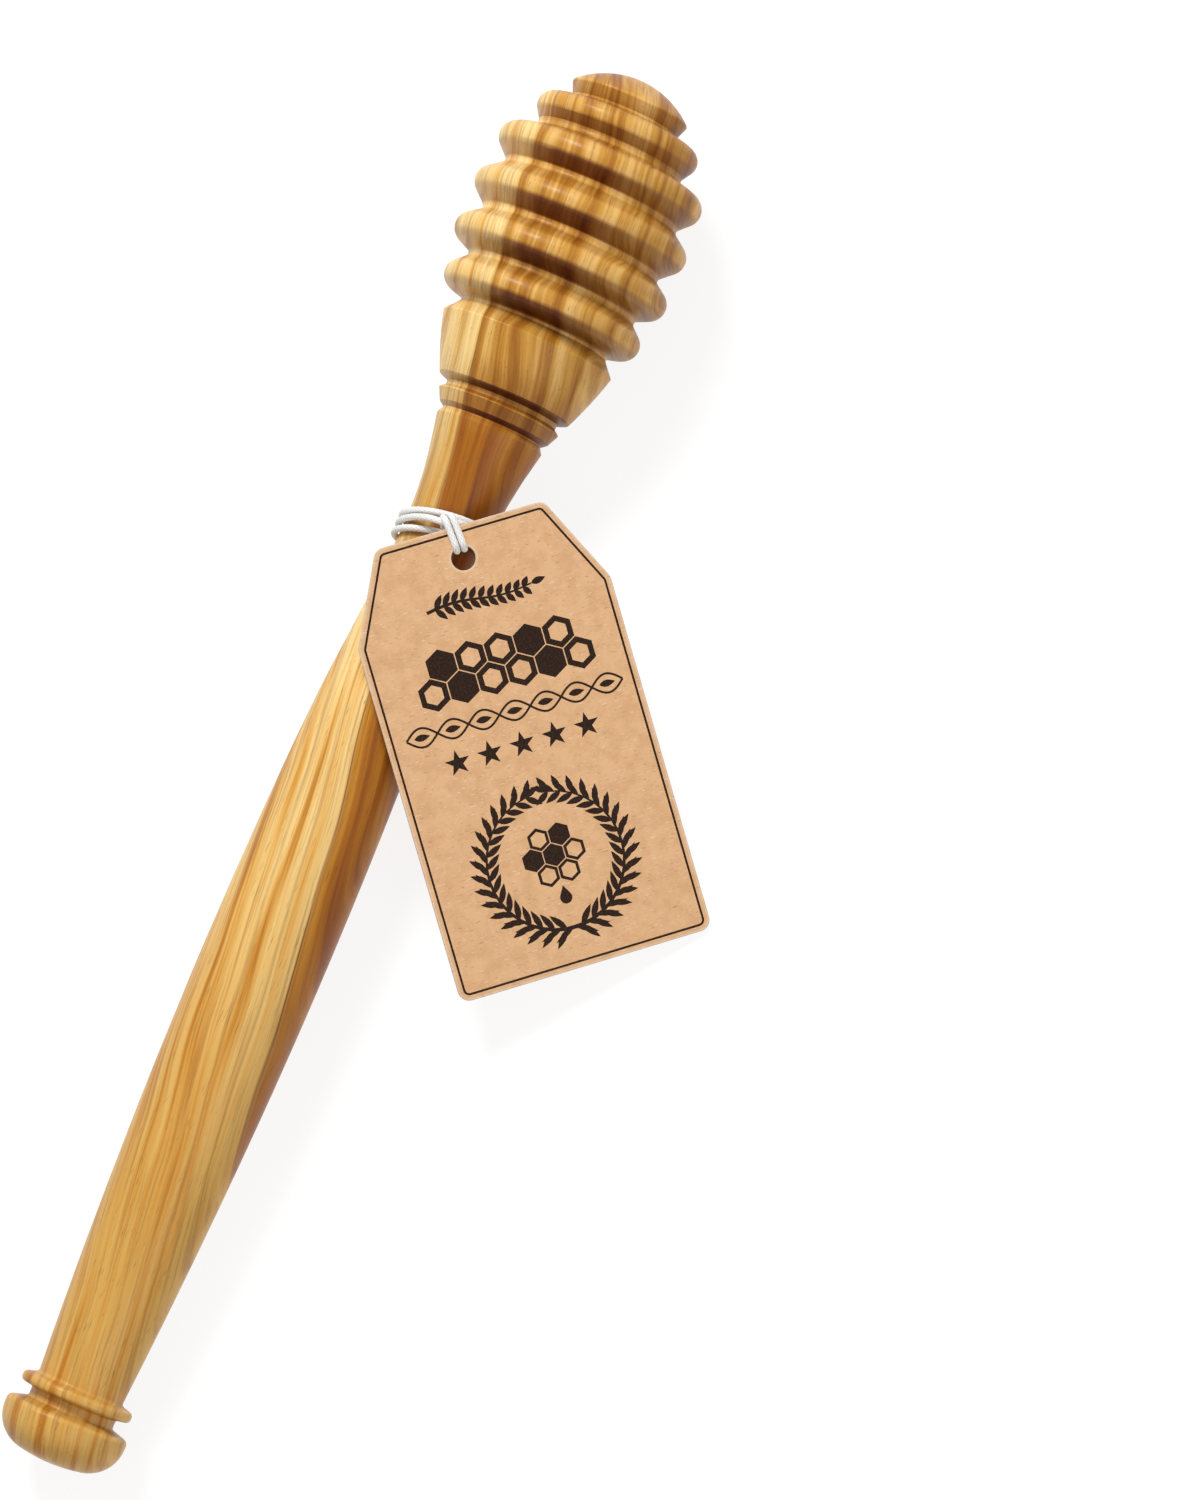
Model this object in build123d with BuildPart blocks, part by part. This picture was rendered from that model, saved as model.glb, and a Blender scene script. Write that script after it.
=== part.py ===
from build123d import *

import os
from math import acos, asin, atan2, copysign, cos, degrees, hypot, pi, radians, sin, sqrt

# A honey dipper turned from one piece of olive wood, lying on a table, with a card tag held
# to its waist by a thin elastic cord. Millimetres, +Z up, +X from the pommel to the ribbed
# head. The dipper rests on its pommel and on its widest rib, so its axis climbs a little.

# ---- Driving dimensions: the turned dipper (stations along its axis, radii from it) ----
POMMEL_CAP_RADIUS = 20.0  # shallow dome that closes the pommel
POMMEL_BOWL_ROUND = 4.5  # round of the pommel's side, from the dome to its widest ring
POMMEL_RADIUS = 7.70
POMMEL_BAND = 0.95  # from the widest ring to the corner above it
POMMEL_SHOULDER = 0.70  # slope from that corner into the cove
POMMEL_SHOULDER_ROUND = 0.75
COVE_RADIUS = 5.39
COVE_WIDTH = 1.20
COVE_ROUND = 0.35
FLANGE_RADIUS = 6.98
FLANGE_WIDTH = 1.60
FLANGE_ROUND = 0.70
FLANGE_FLARE = 0.25  # how far each face of the flange slopes
FOOT_RADIUS = 5.35  # handle where it leaves the flange
FOOT_ROUND = 0.45

HANDLE_LENGTH = 124.10  # from the flange to the collar
HANDLE_RISE_AT = 22.6  # the five stations are counted from the handle's foot
HANDLE_RISE_RADIUS = 6.62
BELLY_AT = 45.6
BELLY_RADIUS = 7.30
SHOULDER_AT = 77.6
SHOULDER_RADIUS = 7.06
SEAT_AT = 87.2  # here the tag's back lies on the handle
SEAT_RADIUS = 6.68
WAIST_AT = 108.5  # the narrowest place, which holds the cord
WAIST_RADIUS = 5.20
NECK_AT = 116.5  # from here the neck flares to the collar
NECK_RADIUS = 5.46
NECK_TOP_RADIUS = 6.80
NECK_TOP_SLOPE = 0.20  # growth of the radius at the collar
FOOT_SLOPE = 0.07

LOWER_GROOVE_RADIUS = 6.31
LOWER_GROOVE_FALL = 0.80
LOWER_GROOVE_RISE = 0.60
BEAD_WIDTH = 1.50
BEAD_LOWER_RADIUS = 7.05
BEAD_UPPER_RADIUS = 7.79
UPPER_GROOVE_RADIUS = 7.12
UPPER_GROOVE_FALL = 0.50
UPPER_GROOVE_WIDTH = 0.60
CUP_FOOT_RISE = 0.50
CUP_FOOT_RADIUS = 8.40
CUP_FOOT_ROUND = 0.45
CUP_LENGTH = 7.20
CUP_RIM_RADIUS = 10.93
CUP_BULGE = 0.16  # how far the cup's side bows out
CUP_LIP = 1.75  # slope from the rim into the first groove
TURNED_EDGE_ROUND = 0.15  # eases the edges that the turning tool leaves on collar and cup

GROOVE_RADII = (9.46, 10.84, 11.44, 11.20, 9.31, 6.85)
RIB_RADII = (12.66, 13.73, 13.70, 13.13, 10.39)
RIB_PITCHES = (5.55, 5.90, 6.30, 5.90, 4.70)  # from each groove to the next
RIB_ROUND = 1.80
GROOVE_ROUND = 0.70
LAST_GROOVE_ROUND = 0.35

TIP_NECK = 1.60  # from the last groove to the edge of the end knob
TIP_EDGE_RADIUS = 7.50
TIP_CAP_RADIUS = 10.9
TIP_EDGE_ROUND = 0.35

# ---- Driving dimensions: the card tag ----
CARD_WIDTH = 31.5
CARD_LENGTH = 54.7
CARD_THICKNESS = 0.45
CARD_CORNER_ACROSS = 5.3  # what each cut top corner takes off the width
CARD_CORNER_ALONG = 10.9  # and off the length
CARD_CORNER_ROUND = 1.4
HOLE_RADIUS = 1.475
HOLE_FROM_TOP = 3.90
HOLE_OFF_CENTRE = 0.60
CARD_SWING = 39.8  # degrees between the tag's length and the dipper's axis

# ---- Driving dimensions: the elastic cord ----
CORD_DIAMETER = 0.80
TURN_CLEARANCE = 0.25  # between the turns and the waist
TURN_PITCH = 1.05
TURN_SLANT = 2.8  # how far the highest side of a turn stands towards the head
HIGHEST_SIDE = 50.0  # degrees round the neck from the top, towards the tag
TURNS_BEFORE = 1.5  # turns wound before the crossing that the tag hangs on
TURNS_AFTER = 1.30
RETURN_CLIMB = 0.15  # share of a turn over which the second end climbs out of the turns
EYE_SIDE = 0.14  # share of a turn to the places beside the crossing
EYE_AT = 111.87  # station of that crossing, from the handle's foot
EYE_ANGLE = 11.4  # degrees round the neck from the top
EYE_RISE = 2.75  # from the waist up to the middle of the cord at the crossing
EYE_WIDTH = 0.18  # share of a turn over which the cord climbs to the crossing
EYE_SPREAD = 1.15  # from the crossing to the next turn
EYE_CLEARANCE = 0.20  # between the tag's loop and the cord inside it
EYE_SKEW = -8.0  # degrees between the cord at the crossing and the tag's top edge
LOOP_TURNS = 2
LOOP_PITCH = 1.10
LOOP_IN_HOLE = 0.60  # from the hole's centre to where the loop goes through
HOLE_TO_EYE = 4.95
RETURN_RISE = 1.20  # how far the second end lies above the turns that it crosses
FIRST_RUN = 4.2  # straight length of the first end before the knot
SECOND_RUN = 3.4  # and of the second
KNOT_AT = 118.9  # station of the knot's middle, from the handle's foot
KNOT_ANGLE = 155.5
KNOT_LENGTH = 1.9
KNOT_WIDTH = 2.6
KNOT_THICKNESS = 1.7
TAIL_LENGTH = 1.2
TAIL_SPLAY = 16.0  # degrees

CONTACT_GAP = 0.20  # between the tag's back and the handle
TABLE_GAP = 0.10  # between the tag's lowest corner and the table

# ---- Stations along the axis, each from the one before ----
bowl_centre_radius = POMMEL_RADIUS - POMMEL_BOWL_ROUND
bowl_at = POMMEL_CAP_RADIUS - sqrt((POMMEL_CAP_RADIUS - POMMEL_BOWL_ROUND) ** 2 - bowl_centre_radius**2)
pommel_corner_at = bowl_at + POMMEL_BAND
cove_at = pommel_corner_at + POMMEL_SHOULDER
flange_at = cove_at + COVE_WIDTH
flange_top_at = flange_at + FLANGE_WIDTH
foot_at = flange_top_at + FLANGE_FLARE
neck_top_at = foot_at + HANDLE_LENGTH
bead_at = neck_top_at + LOWER_GROOVE_FALL + LOWER_GROOVE_RISE
bead_top_at = bead_at + BEAD_WIDTH
upper_groove_at = bead_top_at + UPPER_GROOVE_FALL
cup_at = upper_groove_at + UPPER_GROOVE_WIDTH + CUP_FOOT_RISE
rim_at = cup_at + CUP_LENGTH
groove_stations = [rim_at + CUP_LIP]
for pitch in RIB_PITCHES:
    groove_stations.append(groove_stations[-1] + pitch)
rib_stations = [(low + high) / 2 for low, high in zip(groove_stations, groove_stations[1:])]
tip_edge_at = groove_stations[-1] + TIP_NECK
tip_at = tip_edge_at + TIP_CAP_RADIUS - sqrt(TIP_CAP_RADIUS**2 - TIP_EDGE_RADIUS**2)


def crest_circle(rib):
    """Centre and radius of a rib's crest, its round limited by the grooves beside it."""
    room = min(
        hypot(rib_stations[rib] - groove_stations[side], RIB_RADII[rib] - RIB_ROUND - GROOVE_RADII[side])
        for side in (rib, rib + 1)
    )
    round_ = min(RIB_ROUND, 0.92 * room - GROOVE_ROUND)
    return rib_stations[rib], RIB_RADII[rib] - round_, round_


def groove_circle(groove):
    """Centre and radius of a groove's floor."""
    round_ = LAST_GROOVE_ROUND if groove == len(GROOVE_RADII) - 1 else GROOVE_ROUND
    return groove_stations[groove], GROOVE_RADII[groove] + round_, round_


def flank(crest, groove):
    """Ends, on the crest and in the groove, of the straight flank that touches both circles."""
    along, up = groove[0] - crest[0], groove[1] - crest[1]
    distance = hypot(along, up)
    lean = acos((crest[2] + groove[2]) / distance)
    turn = lean if along > 0 else -lean
    angle = atan2(up, along) + turn
    normal = (cos(angle), sin(angle))
    on_crest = (crest[0] + crest[2] * normal[0], crest[1] + crest[2] * normal[1])
    in_groove = (groove[0] - groove[2] * normal[0], groove[1] - groove[2] * normal[1])
    return on_crest, in_groove


# ---- How the dipper lies: the table touches the pommel's bowl and the widest rib ----
def lean_on(rib):
    """Angle of the common tangent of the pommel's bowl and one rib's crest."""
    station, radius, round_ = crest_circle(rib)
    along, up = station - bowl_at, radius - bowl_centre_radius
    return atan2(up, along) + asin((round_ - POMMEL_BOWL_ROUND) / hypot(along, up))


lean = max(lean_on(rib) for rib in range(len(RIB_RADII)))
axis_height = POMMEL_BOWL_ROUND + bowl_centre_radius * cos(lean) - bowl_at * sin(lean)
pommel_reach = POMMEL_CAP_RADIUS * (cos(lean) - 1)
tip_reach = (tip_at - TIP_CAP_RADIUS) * cos(lean) + TIP_CAP_RADIUS
axis_start = Vector(-(pommel_reach + tip_reach) / 2, 0, axis_height)
axis_direction = Vector(cos(lean), 0, sin(lean))
# Local X runs along the axis, local Y is the radius.
profile_plane = Plane(origin=axis_start, x_dir=axis_direction, z_dir=(0, -1, 0))

with BuildPart() as wooden_dipper:
    with BuildSketch(profile_plane) as profile:
        with BuildLine():
            # Pommel: a shallow dome that runs into the bowl of its side.
            bowl_angle = atan2(bowl_centre_radius, bowl_at - POMMEL_CAP_RADIUS)
            cap_edge = (
                POMMEL_CAP_RADIUS * (1 + cos(bowl_angle)),
                POMMEL_CAP_RADIUS * sin(bowl_angle),
            )
            cap = TangentArc((0, 0), cap_edge, tangent=(0, 1))
            bowl = TangentArc(cap @ 1, (bowl_at, POMMEL_RADIUS), tangent=cap % 1)
            neck_of_pommel = FilletPolyline(
                bowl @ 1,
                (pommel_corner_at, POMMEL_RADIUS),
                (cove_at, COVE_RADIUS),
                (flange_at, COVE_RADIUS),
                (flange_at + FLANGE_FLARE, FLANGE_RADIUS),
                (flange_top_at - FLANGE_FLARE, FLANGE_RADIUS),
                (foot_at, FOOT_RADIUS),
                (foot_at + 2 * FOOT_ROUND, FOOT_RADIUS + 2 * FOOT_ROUND * FOOT_SLOPE),
                radius=[
                    POMMEL_SHOULDER_ROUND,
                    COVE_ROUND,
                    COVE_ROUND,
                    min(FLANGE_ROUND, FLANGE_WIDTH / 2 - FLANGE_FLARE),
                    min(FLANGE_ROUND, FLANGE_WIDTH / 2 - FLANGE_FLARE),
                    FOOT_ROUND,
                ],
            )
            # Handle: one long swell that narrows to the waist and flares to the collar.
            handle = Spline(
                neck_of_pommel @ 1,
                (foot_at + HANDLE_RISE_AT, HANDLE_RISE_RADIUS),
                (foot_at + BELLY_AT, BELLY_RADIUS),
                (foot_at + SHOULDER_AT, SHOULDER_RADIUS),
                (foot_at + SEAT_AT, SEAT_RADIUS),
                (foot_at + WAIST_AT, WAIST_RADIUS),
                (foot_at + NECK_AT, NECK_RADIUS),
                (neck_top_at, NECK_TOP_RADIUS),
                tangents=((1, FOOT_SLOPE), (1, NECK_TOP_SLOPE)),
            )
            # Collar: two sharp grooves with a tapered bead between them.
            collar = FilletPolyline(
                handle @ 1,
                (neck_top_at + LOWER_GROOVE_FALL, LOWER_GROOVE_RADIUS),
                (bead_at, BEAD_LOWER_RADIUS),
                (bead_top_at, BEAD_UPPER_RADIUS),
                (upper_groove_at, UPPER_GROOVE_RADIUS),
                (upper_groove_at + UPPER_GROOVE_WIDTH, UPPER_GROOVE_RADIUS),
                (cup_at, CUP_FOOT_RADIUS),
                radius=TURNED_EDGE_ROUND,
            )
            cup_middle = ((cup_at + rim_at) / 2, (CUP_FOOT_RADIUS + CUP_RIM_RADIUS) / 2 + CUP_BULGE)
            cup_side = ThreePointArc(collar @ 1, cup_middle, (rim_at, CUP_RIM_RADIUS))
            # Head: round ribs and grooves, each pair joined by a straight flank.
            first_floor = (groove_stations[0], GROOVE_RADII[0])
            lip = Line(cup_side @ 1, first_floor)
            previous = first_floor
            for rib in range(len(RIB_RADII)):
                crest = crest_circle(rib)
                rise_top, rise_foot = flank(crest, groove_circle(rib))
                fall_top, fall_foot = flank(crest, groove_circle(rib + 1))
                if rib == 0:
                    floor = TangentArc(rise_foot, previous, tangent=Vector(*rise_foot) - Vector(*rise_top))
                else:
                    floor = ThreePointArc(previous, (groove_stations[rib], GROOVE_RADII[rib]), rise_foot)
                Line(rise_foot, rise_top)
                ThreePointArc(rise_top, (rib_stations[rib], RIB_RADII[rib]), fall_top)
                Line(fall_top, fall_foot)
                previous = fall_foot
            last_floor = (groove_stations[-1], GROOVE_RADII[-1])
            Line(previous, last_floor)
            knob_neck = Line(last_floor, (tip_edge_at, TIP_EDGE_RADIUS))
            tip_cap = RadiusArc(knob_neck @ 1, (tip_at, 0), TIP_CAP_RADIUS)
            Line(tip_cap @ 1, (0, 0))
        make_face()
        for corner, edge_round in (
            ((cup_at, CUP_FOOT_RADIUS), CUP_FOOT_ROUND),
            ((rim_at, CUP_RIM_RADIUS), TURNED_EDGE_ROUND),
            ((tip_edge_at, TIP_EDGE_RADIUS), TIP_EDGE_ROUND),
        ):
            fillet(profile.vertices().sort_by_distance(corner)[0], edge_round)
    revolve(axis=Axis(axis_start, axis_direction))
wooden_dipper.part.label = "wooden_dipper"

# ---- The cord's and the tag's places, in a frame along the dipper's axis ----
dipper_frame = Plane(origin=axis_start, x_dir=axis_direction, z_dir=(-sin(lean), 0, cos(lean)))
cord_radius = CORD_DIAMETER / 2
turn_radius = WAIST_RADIUS + TURN_CLEARANCE + cord_radius
eye_radius = WAIST_RADIUS + EYE_RISE
eye_at = foot_at + EYE_AT
loop_radius = CORD_DIAMETER + EYE_CLEARANCE


def on_neck(station, radius, angle):
    """Point beside the neck: degrees round it from the top, towards the side of the tag."""
    return Vector(station, -radius * sin(radians(angle)), radius * cos(radians(angle)))


def placed(point):
    """A point of the dipper's frame, in the world."""
    return dipper_frame.from_local_coords(point)


def turned(direction):
    """A direction of the dipper's frame, in the world."""
    return placed(direction) - placed(Vector(0, 0, 0))


eye = on_neck(eye_at, eye_radius, EYE_ANGLE)
# The card's outline about the eye: X along its top edge, Y along its length.
card_top = HOLE_FROM_TOP - HOLE_TO_EYE
card_foot = card_top - CARD_LENGTH
hole_across = LOOP_PITCH / 2  # the loop shifts by half its pitch between the hole and the crossing
card_left = hole_across + HOLE_OFF_CENTRE - CARD_WIDTH / 2
card_right = card_left + CARD_WIDTH


def card_axes(tilt):
    """Across, along and normal directions of the tag, its back against the handle."""
    reach = eye_at - (foot_at + SEAT_AT)
    height = eye.Z * cos(tilt) - eye.Y * sin(tilt)
    climb = atan2(height - SEAT_RADIUS - CONTACT_GAP - CARD_THICKNESS / 2, reach)
    along_handle = Vector(cos(climb), -sin(climb) * sin(tilt), sin(climb) * cos(tilt))
    across_handle = Vector(0, cos(tilt), sin(tilt))
    swing = radians(CARD_SWING)
    across = along_handle * sin(swing) - across_handle * cos(swing)
    along = along_handle * cos(swing) + across_handle * sin(swing)
    return across, along, across.cross(along)


def lowest_corner(tilt):
    """Height above the table of the back of the tag's lowest corner."""
    across, along, normal = card_axes(tilt)
    return placed(eye + across * card_right + along * card_foot - normal * (CARD_THICKNESS / 2)).Z


# The tag tips over the handle until its lower corner is just above the table.
level, steep = 0.0, pi / 3
for _ in range(50):
    middle = (level + steep) / 2
    if lowest_corner(middle) > TABLE_GAP:
        level = middle
    else:
        steep = middle
card_tilt = level
across, along, normal = card_axes(card_tilt)
card_plane = Plane(origin=placed(eye), x_dir=turned(across), z_dir=turned(normal))


def halfway(start, start_way, end, end_way):
    """Point and direction where two tangent arcs of equal reach meet between two places."""
    span = end - start
    both = start_way + end_way
    parallel = 2 * (1 - start_way.dot(end_way))
    if parallel < 1e-9:
        reach = span.dot(span) / (2 * span.dot(both))
    else:
        reach = (-span.dot(both) + sqrt(span.dot(both) ** 2 + parallel * span.dot(span))) / parallel
    meeting = (start + end + (start_way - end_way) * reach) / 2
    way = ((end - end_way * reach) - (start + start_way * reach)).normalized()
    return meeting, way


def trace(places):
    """Draw a smooth line through places, each a point and its direction, by pairs of arcs."""
    for (start, start_way), (end, end_way) in zip(places, places[1:]):
        chord = (end - start).normalized()
        if chord.dot(start_way) > 1 - 1e-9 and chord.dot(end_way) > 1 - 1e-9:
            Line(start, end)
            continue
        meeting, way = halfway(start, start_way, end, end_way)
        TangentArc(start, meeting, tangent=start_way)
        TangentArc(meeting, end, tangent=way)


def walk(path, step=0.12):
    """Points along a path at even steps."""
    count = int(path.length / step)
    return [path @ (index / count) for index in range(count + 1)]


def self_gap(path):
    """Least free space between parts of one tube that aren't neighbours along it."""
    points = walk(path)
    apart = int(pi * CORD_DIAMETER / 0.12) + 1
    least = min(
        (points[i] - points[j]).length for i in range(len(points)) for j in range(i + apart, len(points))
    )
    return least - CORD_DIAMETER


# ---- The turns round the waist: one cord, wound by a formula, both ends at the knot ----
def turn_place(turns):
    """Point of the winding, counted in turns from the crossing that the tag hangs on."""
    angle = EYE_ANGLE + 360 * turns
    lift = cos(pi * turns / (2 * EYE_WIDTH)) ** 2 if abs(turns) < EYE_WIDTH else 0
    slant = cos(radians(angle - HIGHEST_SIDE)) - cos(radians(EYE_ANGLE - HIGHEST_SIDE))
    climb = (1 - cos(pi * max(0, turns - TURNS_AFTER + RETURN_CLIMB) / RETURN_CLIMB)) / 2
    spread = (EYE_SPREAD - TURN_PITCH) * (1 - lift)
    station = eye_at - TURN_PITCH * turns + TURN_SLANT / 2 * slant - copysign(spread, turns)
    radius = turn_radius + (eye_radius - turn_radius) * lift + RETURN_RISE * climb
    return on_neck(station, radius, angle)


def turn_way(turns):
    """Direction of the winding at a place of it."""
    return (turn_place(turns + 1e-4) - turn_place(turns - 1e-4)).normalized()


skew = radians(EYE_SKEW)
eye_way = across * cos(skew) - along * sin(skew)
knot_radius = turn_radius + RETURN_RISE
knot_centre = on_neck(foot_at + KNOT_AT, knot_radius, KNOT_ANGLE)
outwards = Vector(0, -sin(radians(KNOT_ANGLE)), cos(radians(KNOT_ANGLE)))
knot_way = Vector(1, 0, 0)
knot_across = outwards.cross(knot_way)
knot_mouth = knot_centre - knot_way * (KNOT_LENGTH / 2)
strand_spacing = (KNOT_WIDTH - CORD_DIAMETER) / 2 - 0.2

strand_one = knot_mouth - knot_across * strand_spacing
strand_two = knot_mouth + knot_across * strand_spacing
quarters = [-TURNS_BEFORE + index / 4 for index in range(round(4 * (TURNS_BEFORE - 0.25)) + 1)]
later_quarters = [0.25 + index / 4 for index in range(int(4 * (TURNS_AFTER - RETURN_CLIMB - 0.25)) + 1)]
winding_places = (
    [
        (strand_one, -knot_way),
        (strand_one - knot_way * FIRST_RUN, -knot_way),
    ]
    + [(turn_place(turns), turn_way(turns)) for turns in quarters]
    + [(turn_place(-EYE_SIDE), turn_way(-EYE_SIDE)), (eye, eye_way), (turn_place(EYE_SIDE), turn_way(EYE_SIDE))]
    + [(turn_place(turns), turn_way(turns)) for turns in later_quarters]
    + [
        (turn_place(TURNS_AFTER - RETURN_CLIMB), turn_way(TURNS_AFTER - RETURN_CLIMB)),
        (turn_place(TURNS_AFTER), turn_way(TURNS_AFTER)),
        (strand_two - knot_way * SECOND_RUN, knot_way),
        (strand_two, knot_way),
    ]
)

with BuildPart() as neck_wraps:
    with BuildLine() as winding_path:
        trace([(placed(point), turned(way)) for point, way in winding_places])
    winding = winding_path.wire()
    with BuildSketch(Plane(origin=winding @ 0, z_dir=winding % 0)):
        Circle(cord_radius)
    sweep(path=winding)
neck_wraps.part.label = "neck_wraps"

# ---- The knot behind the neck, with its two cut ends ----
knot_plane = Plane(origin=placed(knot_mouth), x_dir=turned(knot_across), z_dir=turned(knot_way))
with BuildPart() as elastic_knot:
    with BuildSketch(knot_plane):
        RectangleRounded(KNOT_WIDTH, KNOT_THICKNESS, KNOT_THICKNESS * 0.45)
    extrude(amount=KNOT_LENGTH)
    far_edges = elastic_knot.faces().sort_by(Axis(knot_plane.origin, knot_plane.z_dir))[-1].edges()
    fillet(far_edges, KNOT_THICKNESS * 0.35)
    for side in (-1, 1):
        splay = radians(TAIL_SPLAY) * side
        tail_way = knot_plane.z_dir * cos(splay) + knot_plane.x_dir * sin(splay)
        tail_start = knot_plane.from_local_coords((side * strand_spacing * 0.8, 0, KNOT_LENGTH / 2))
        with BuildSketch(Plane(origin=tail_start, z_dir=tail_way)):
            Circle(cord_radius)
        extrude(amount=KNOT_LENGTH / 2 + TAIL_LENGTH)
elastic_knot.part.label = "elastic_knot"

# ---- The tag's loop: one cord, two turns through the hole and round the crossing ----
loop_reach = HOLE_TO_EYE - LOOP_IN_HOLE - loop_radius  # straight part of each turn
quarter = pi * loop_radius / 2
loop_length = 2 * loop_reach + 4 * quarter
hole_share = (loop_reach / 2 + quarter) / loop_length
loop_start = hole_across + LOOP_PITCH * (hole_share + (LOOP_TURNS - 1) / 2)


def loop_place(distance):
    """Point and direction of the tag's loop, in the card's frame about the crossing."""
    turns, rest = divmod(distance + 1e-9, loop_length)
    sideways = loop_start - LOOP_PITCH * (turns + rest / loop_length)
    rest -= loop_reach / 2
    if rest < 0:
        y, z, way_y, way_z = -loop_reach - rest, -loop_radius, -1, 0
    elif rest < 2 * quarter:
        bend = rest / loop_radius
        y, z = -loop_reach - loop_radius * sin(bend), -loop_radius * cos(bend)
        way_y, way_z = -cos(bend), sin(bend)
    elif rest < 2 * quarter + loop_reach:
        y, z, way_y, way_z = -loop_reach + rest - 2 * quarter, loop_radius, 1, 0
    elif rest < 4 * quarter + loop_reach:
        bend = (rest - 2 * quarter - loop_reach) / loop_radius
        y, z = loop_radius * sin(bend), loop_radius * cos(bend)
        way_y, way_z = cos(bend), -sin(bend)
    else:
        y, z, way_y, way_z = -(rest - 4 * quarter - loop_reach), -loop_radius, -1, 0
    return Vector(sideways, y, z), Vector(-LOOP_PITCH / loop_length, way_y, way_z).normalized()


marks = [0]
for turn in range(LOOP_TURNS):
    begin = turn * loop_length + loop_reach / 2
    marks += [begin + index * quarter for index in range(3)]
    marks += [begin + loop_reach + index * quarter for index in range(2, 5)]
marks.append(LOOP_TURNS * loop_length - 1e-6)
loop_places = [loop_place(distance) for distance in marks]

with BuildPart() as tag_loop:
    with BuildLine() as loop_path:
        trace(
            [
                (card_plane.from_local_coords(point), card_plane.from_local_coords(way) - card_plane.origin)
                for point, way in loop_places
            ]
        )
    looped = loop_path.wire()
    with BuildSketch(Plane(origin=looped @ 0, z_dir=looped % 0)):
        Circle(cord_radius)
    sweep(path=looped)
tag_loop.part.label = "tag_loop"

# ---- The card tag ----
with BuildPart() as hang_tag:
    with BuildSketch(card_plane.offset(-CARD_THICKNESS / 2)):
        with BuildLine():
            FilletPolyline(
                (card_left, card_foot),
                (card_right, card_foot),
                (card_right, card_top - CARD_CORNER_ALONG),
                (card_right - CARD_CORNER_ACROSS, card_top),
                (card_left + CARD_CORNER_ACROSS, card_top),
                (card_left, card_top - CARD_CORNER_ALONG),
                radius=CARD_CORNER_ROUND,
                close=True,
            )
        make_face()
        with Locations((hole_across, -HOLE_TO_EYE)):
            Circle(HOLE_RADIUS, mode=Mode.SUBTRACT)
    extrude(amount=CARD_THICKNESS)
hang_tag.part.label = "hang_tag"

os.makedirs("parts", exist_ok=True)
export_step(wooden_dipper.part, "parts/wooden_dipper.step")
export_step(neck_wraps.part, "parts/neck_wraps.step")
export_step(elastic_knot.part, "parts/elastic_knot.step")
export_step(tag_loop.part, "parts/tag_loop.step")
export_step(hang_tag.part, "parts/hang_tag.step")

print("length", round(tip_at, 3), "mm, lean", round(degrees(lean), 3), "degrees")
print("tag tilt", round(degrees(card_tilt), 2), "degrees")
for name, solid, path in (("neck_wraps", neck_wraps, winding), ("tag_loop", tag_loop, looped)):
    section = pi * cord_radius**2
    print(
        name, "length", round(path.length, 2), "mm, least gap to itself", round(self_gap(path), 3),
        "mm, volume", round(solid.part.volume, 3), "against", round(section * path.length, 3),
    )
    print(name, "tightest bend", round(min(edge.radius for edge in path.edges() if edge.geom_type == GeomType.CIRCLE), 3))
for name, point in (("eye", placed(eye)), ("hole", card_plane.from_local_coords((hole_across, -HOLE_TO_EYE, 0)))):
    print(name, [round(value, 3) for value in point])
for name, way in (("axis", axis_direction), ("across", card_plane.x_dir), ("normal", card_plane.z_dir)):
    print(name, [round(value, 5) for value in way])
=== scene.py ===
"""A honey dipper turned from olive wood, with a card tag on a thin elastic cord.

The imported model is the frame. Blender's own units are metres; sizes in the classes below are
millimetres, in the frame along the dipper's axis or in the card's own frame.
"""

import logging
import math
from dataclasses import dataclass, field
from enum import Enum
from typing import Optional, Sequence, Union

import bmesh
import bpy
from mathutils import Matrix, Vector
from mathutils.geometry import delaunay_2d_cdt


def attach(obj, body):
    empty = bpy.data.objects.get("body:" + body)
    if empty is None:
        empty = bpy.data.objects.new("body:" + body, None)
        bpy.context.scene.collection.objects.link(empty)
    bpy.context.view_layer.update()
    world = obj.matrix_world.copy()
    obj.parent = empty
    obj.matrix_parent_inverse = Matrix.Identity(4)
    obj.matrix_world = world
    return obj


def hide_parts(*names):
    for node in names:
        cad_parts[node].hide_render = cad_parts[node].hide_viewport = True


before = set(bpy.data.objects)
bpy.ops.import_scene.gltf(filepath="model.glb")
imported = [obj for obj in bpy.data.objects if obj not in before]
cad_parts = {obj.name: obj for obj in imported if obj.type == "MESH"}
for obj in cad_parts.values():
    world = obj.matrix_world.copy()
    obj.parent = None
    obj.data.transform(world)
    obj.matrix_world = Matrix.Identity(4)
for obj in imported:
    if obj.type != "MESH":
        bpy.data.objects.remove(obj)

log = logging.getLogger("honey_dipper")

MM = 0.001
WELD = 1e-5  # millimetres within which the card's points are one
Point2 = tuple[float, float]
Point3 = tuple[float, float, float]
Stops = Sequence[tuple[float, str]]
SocketValue = Union[bpy.types.NodeSocket, float, Sequence[float]]


class Body(Enum):
    """The bodies that the new pieces ride on."""

    ELASTIC = "neck_elastic"
    STRANDS = "tag_strands"
    TAG = "tag"


class Slot(Enum):
    """The record's material slots for the new pieces."""

    ELASTIC = "elastic"
    CARD = "kraft_card"


class CardFinish(Enum):
    """The card's finishes, by their place among its materials."""

    BOARD = 0
    INK = 1
    RIM = 2


# ---------------------------------------------------------------- colours, nodes and objects


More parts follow.
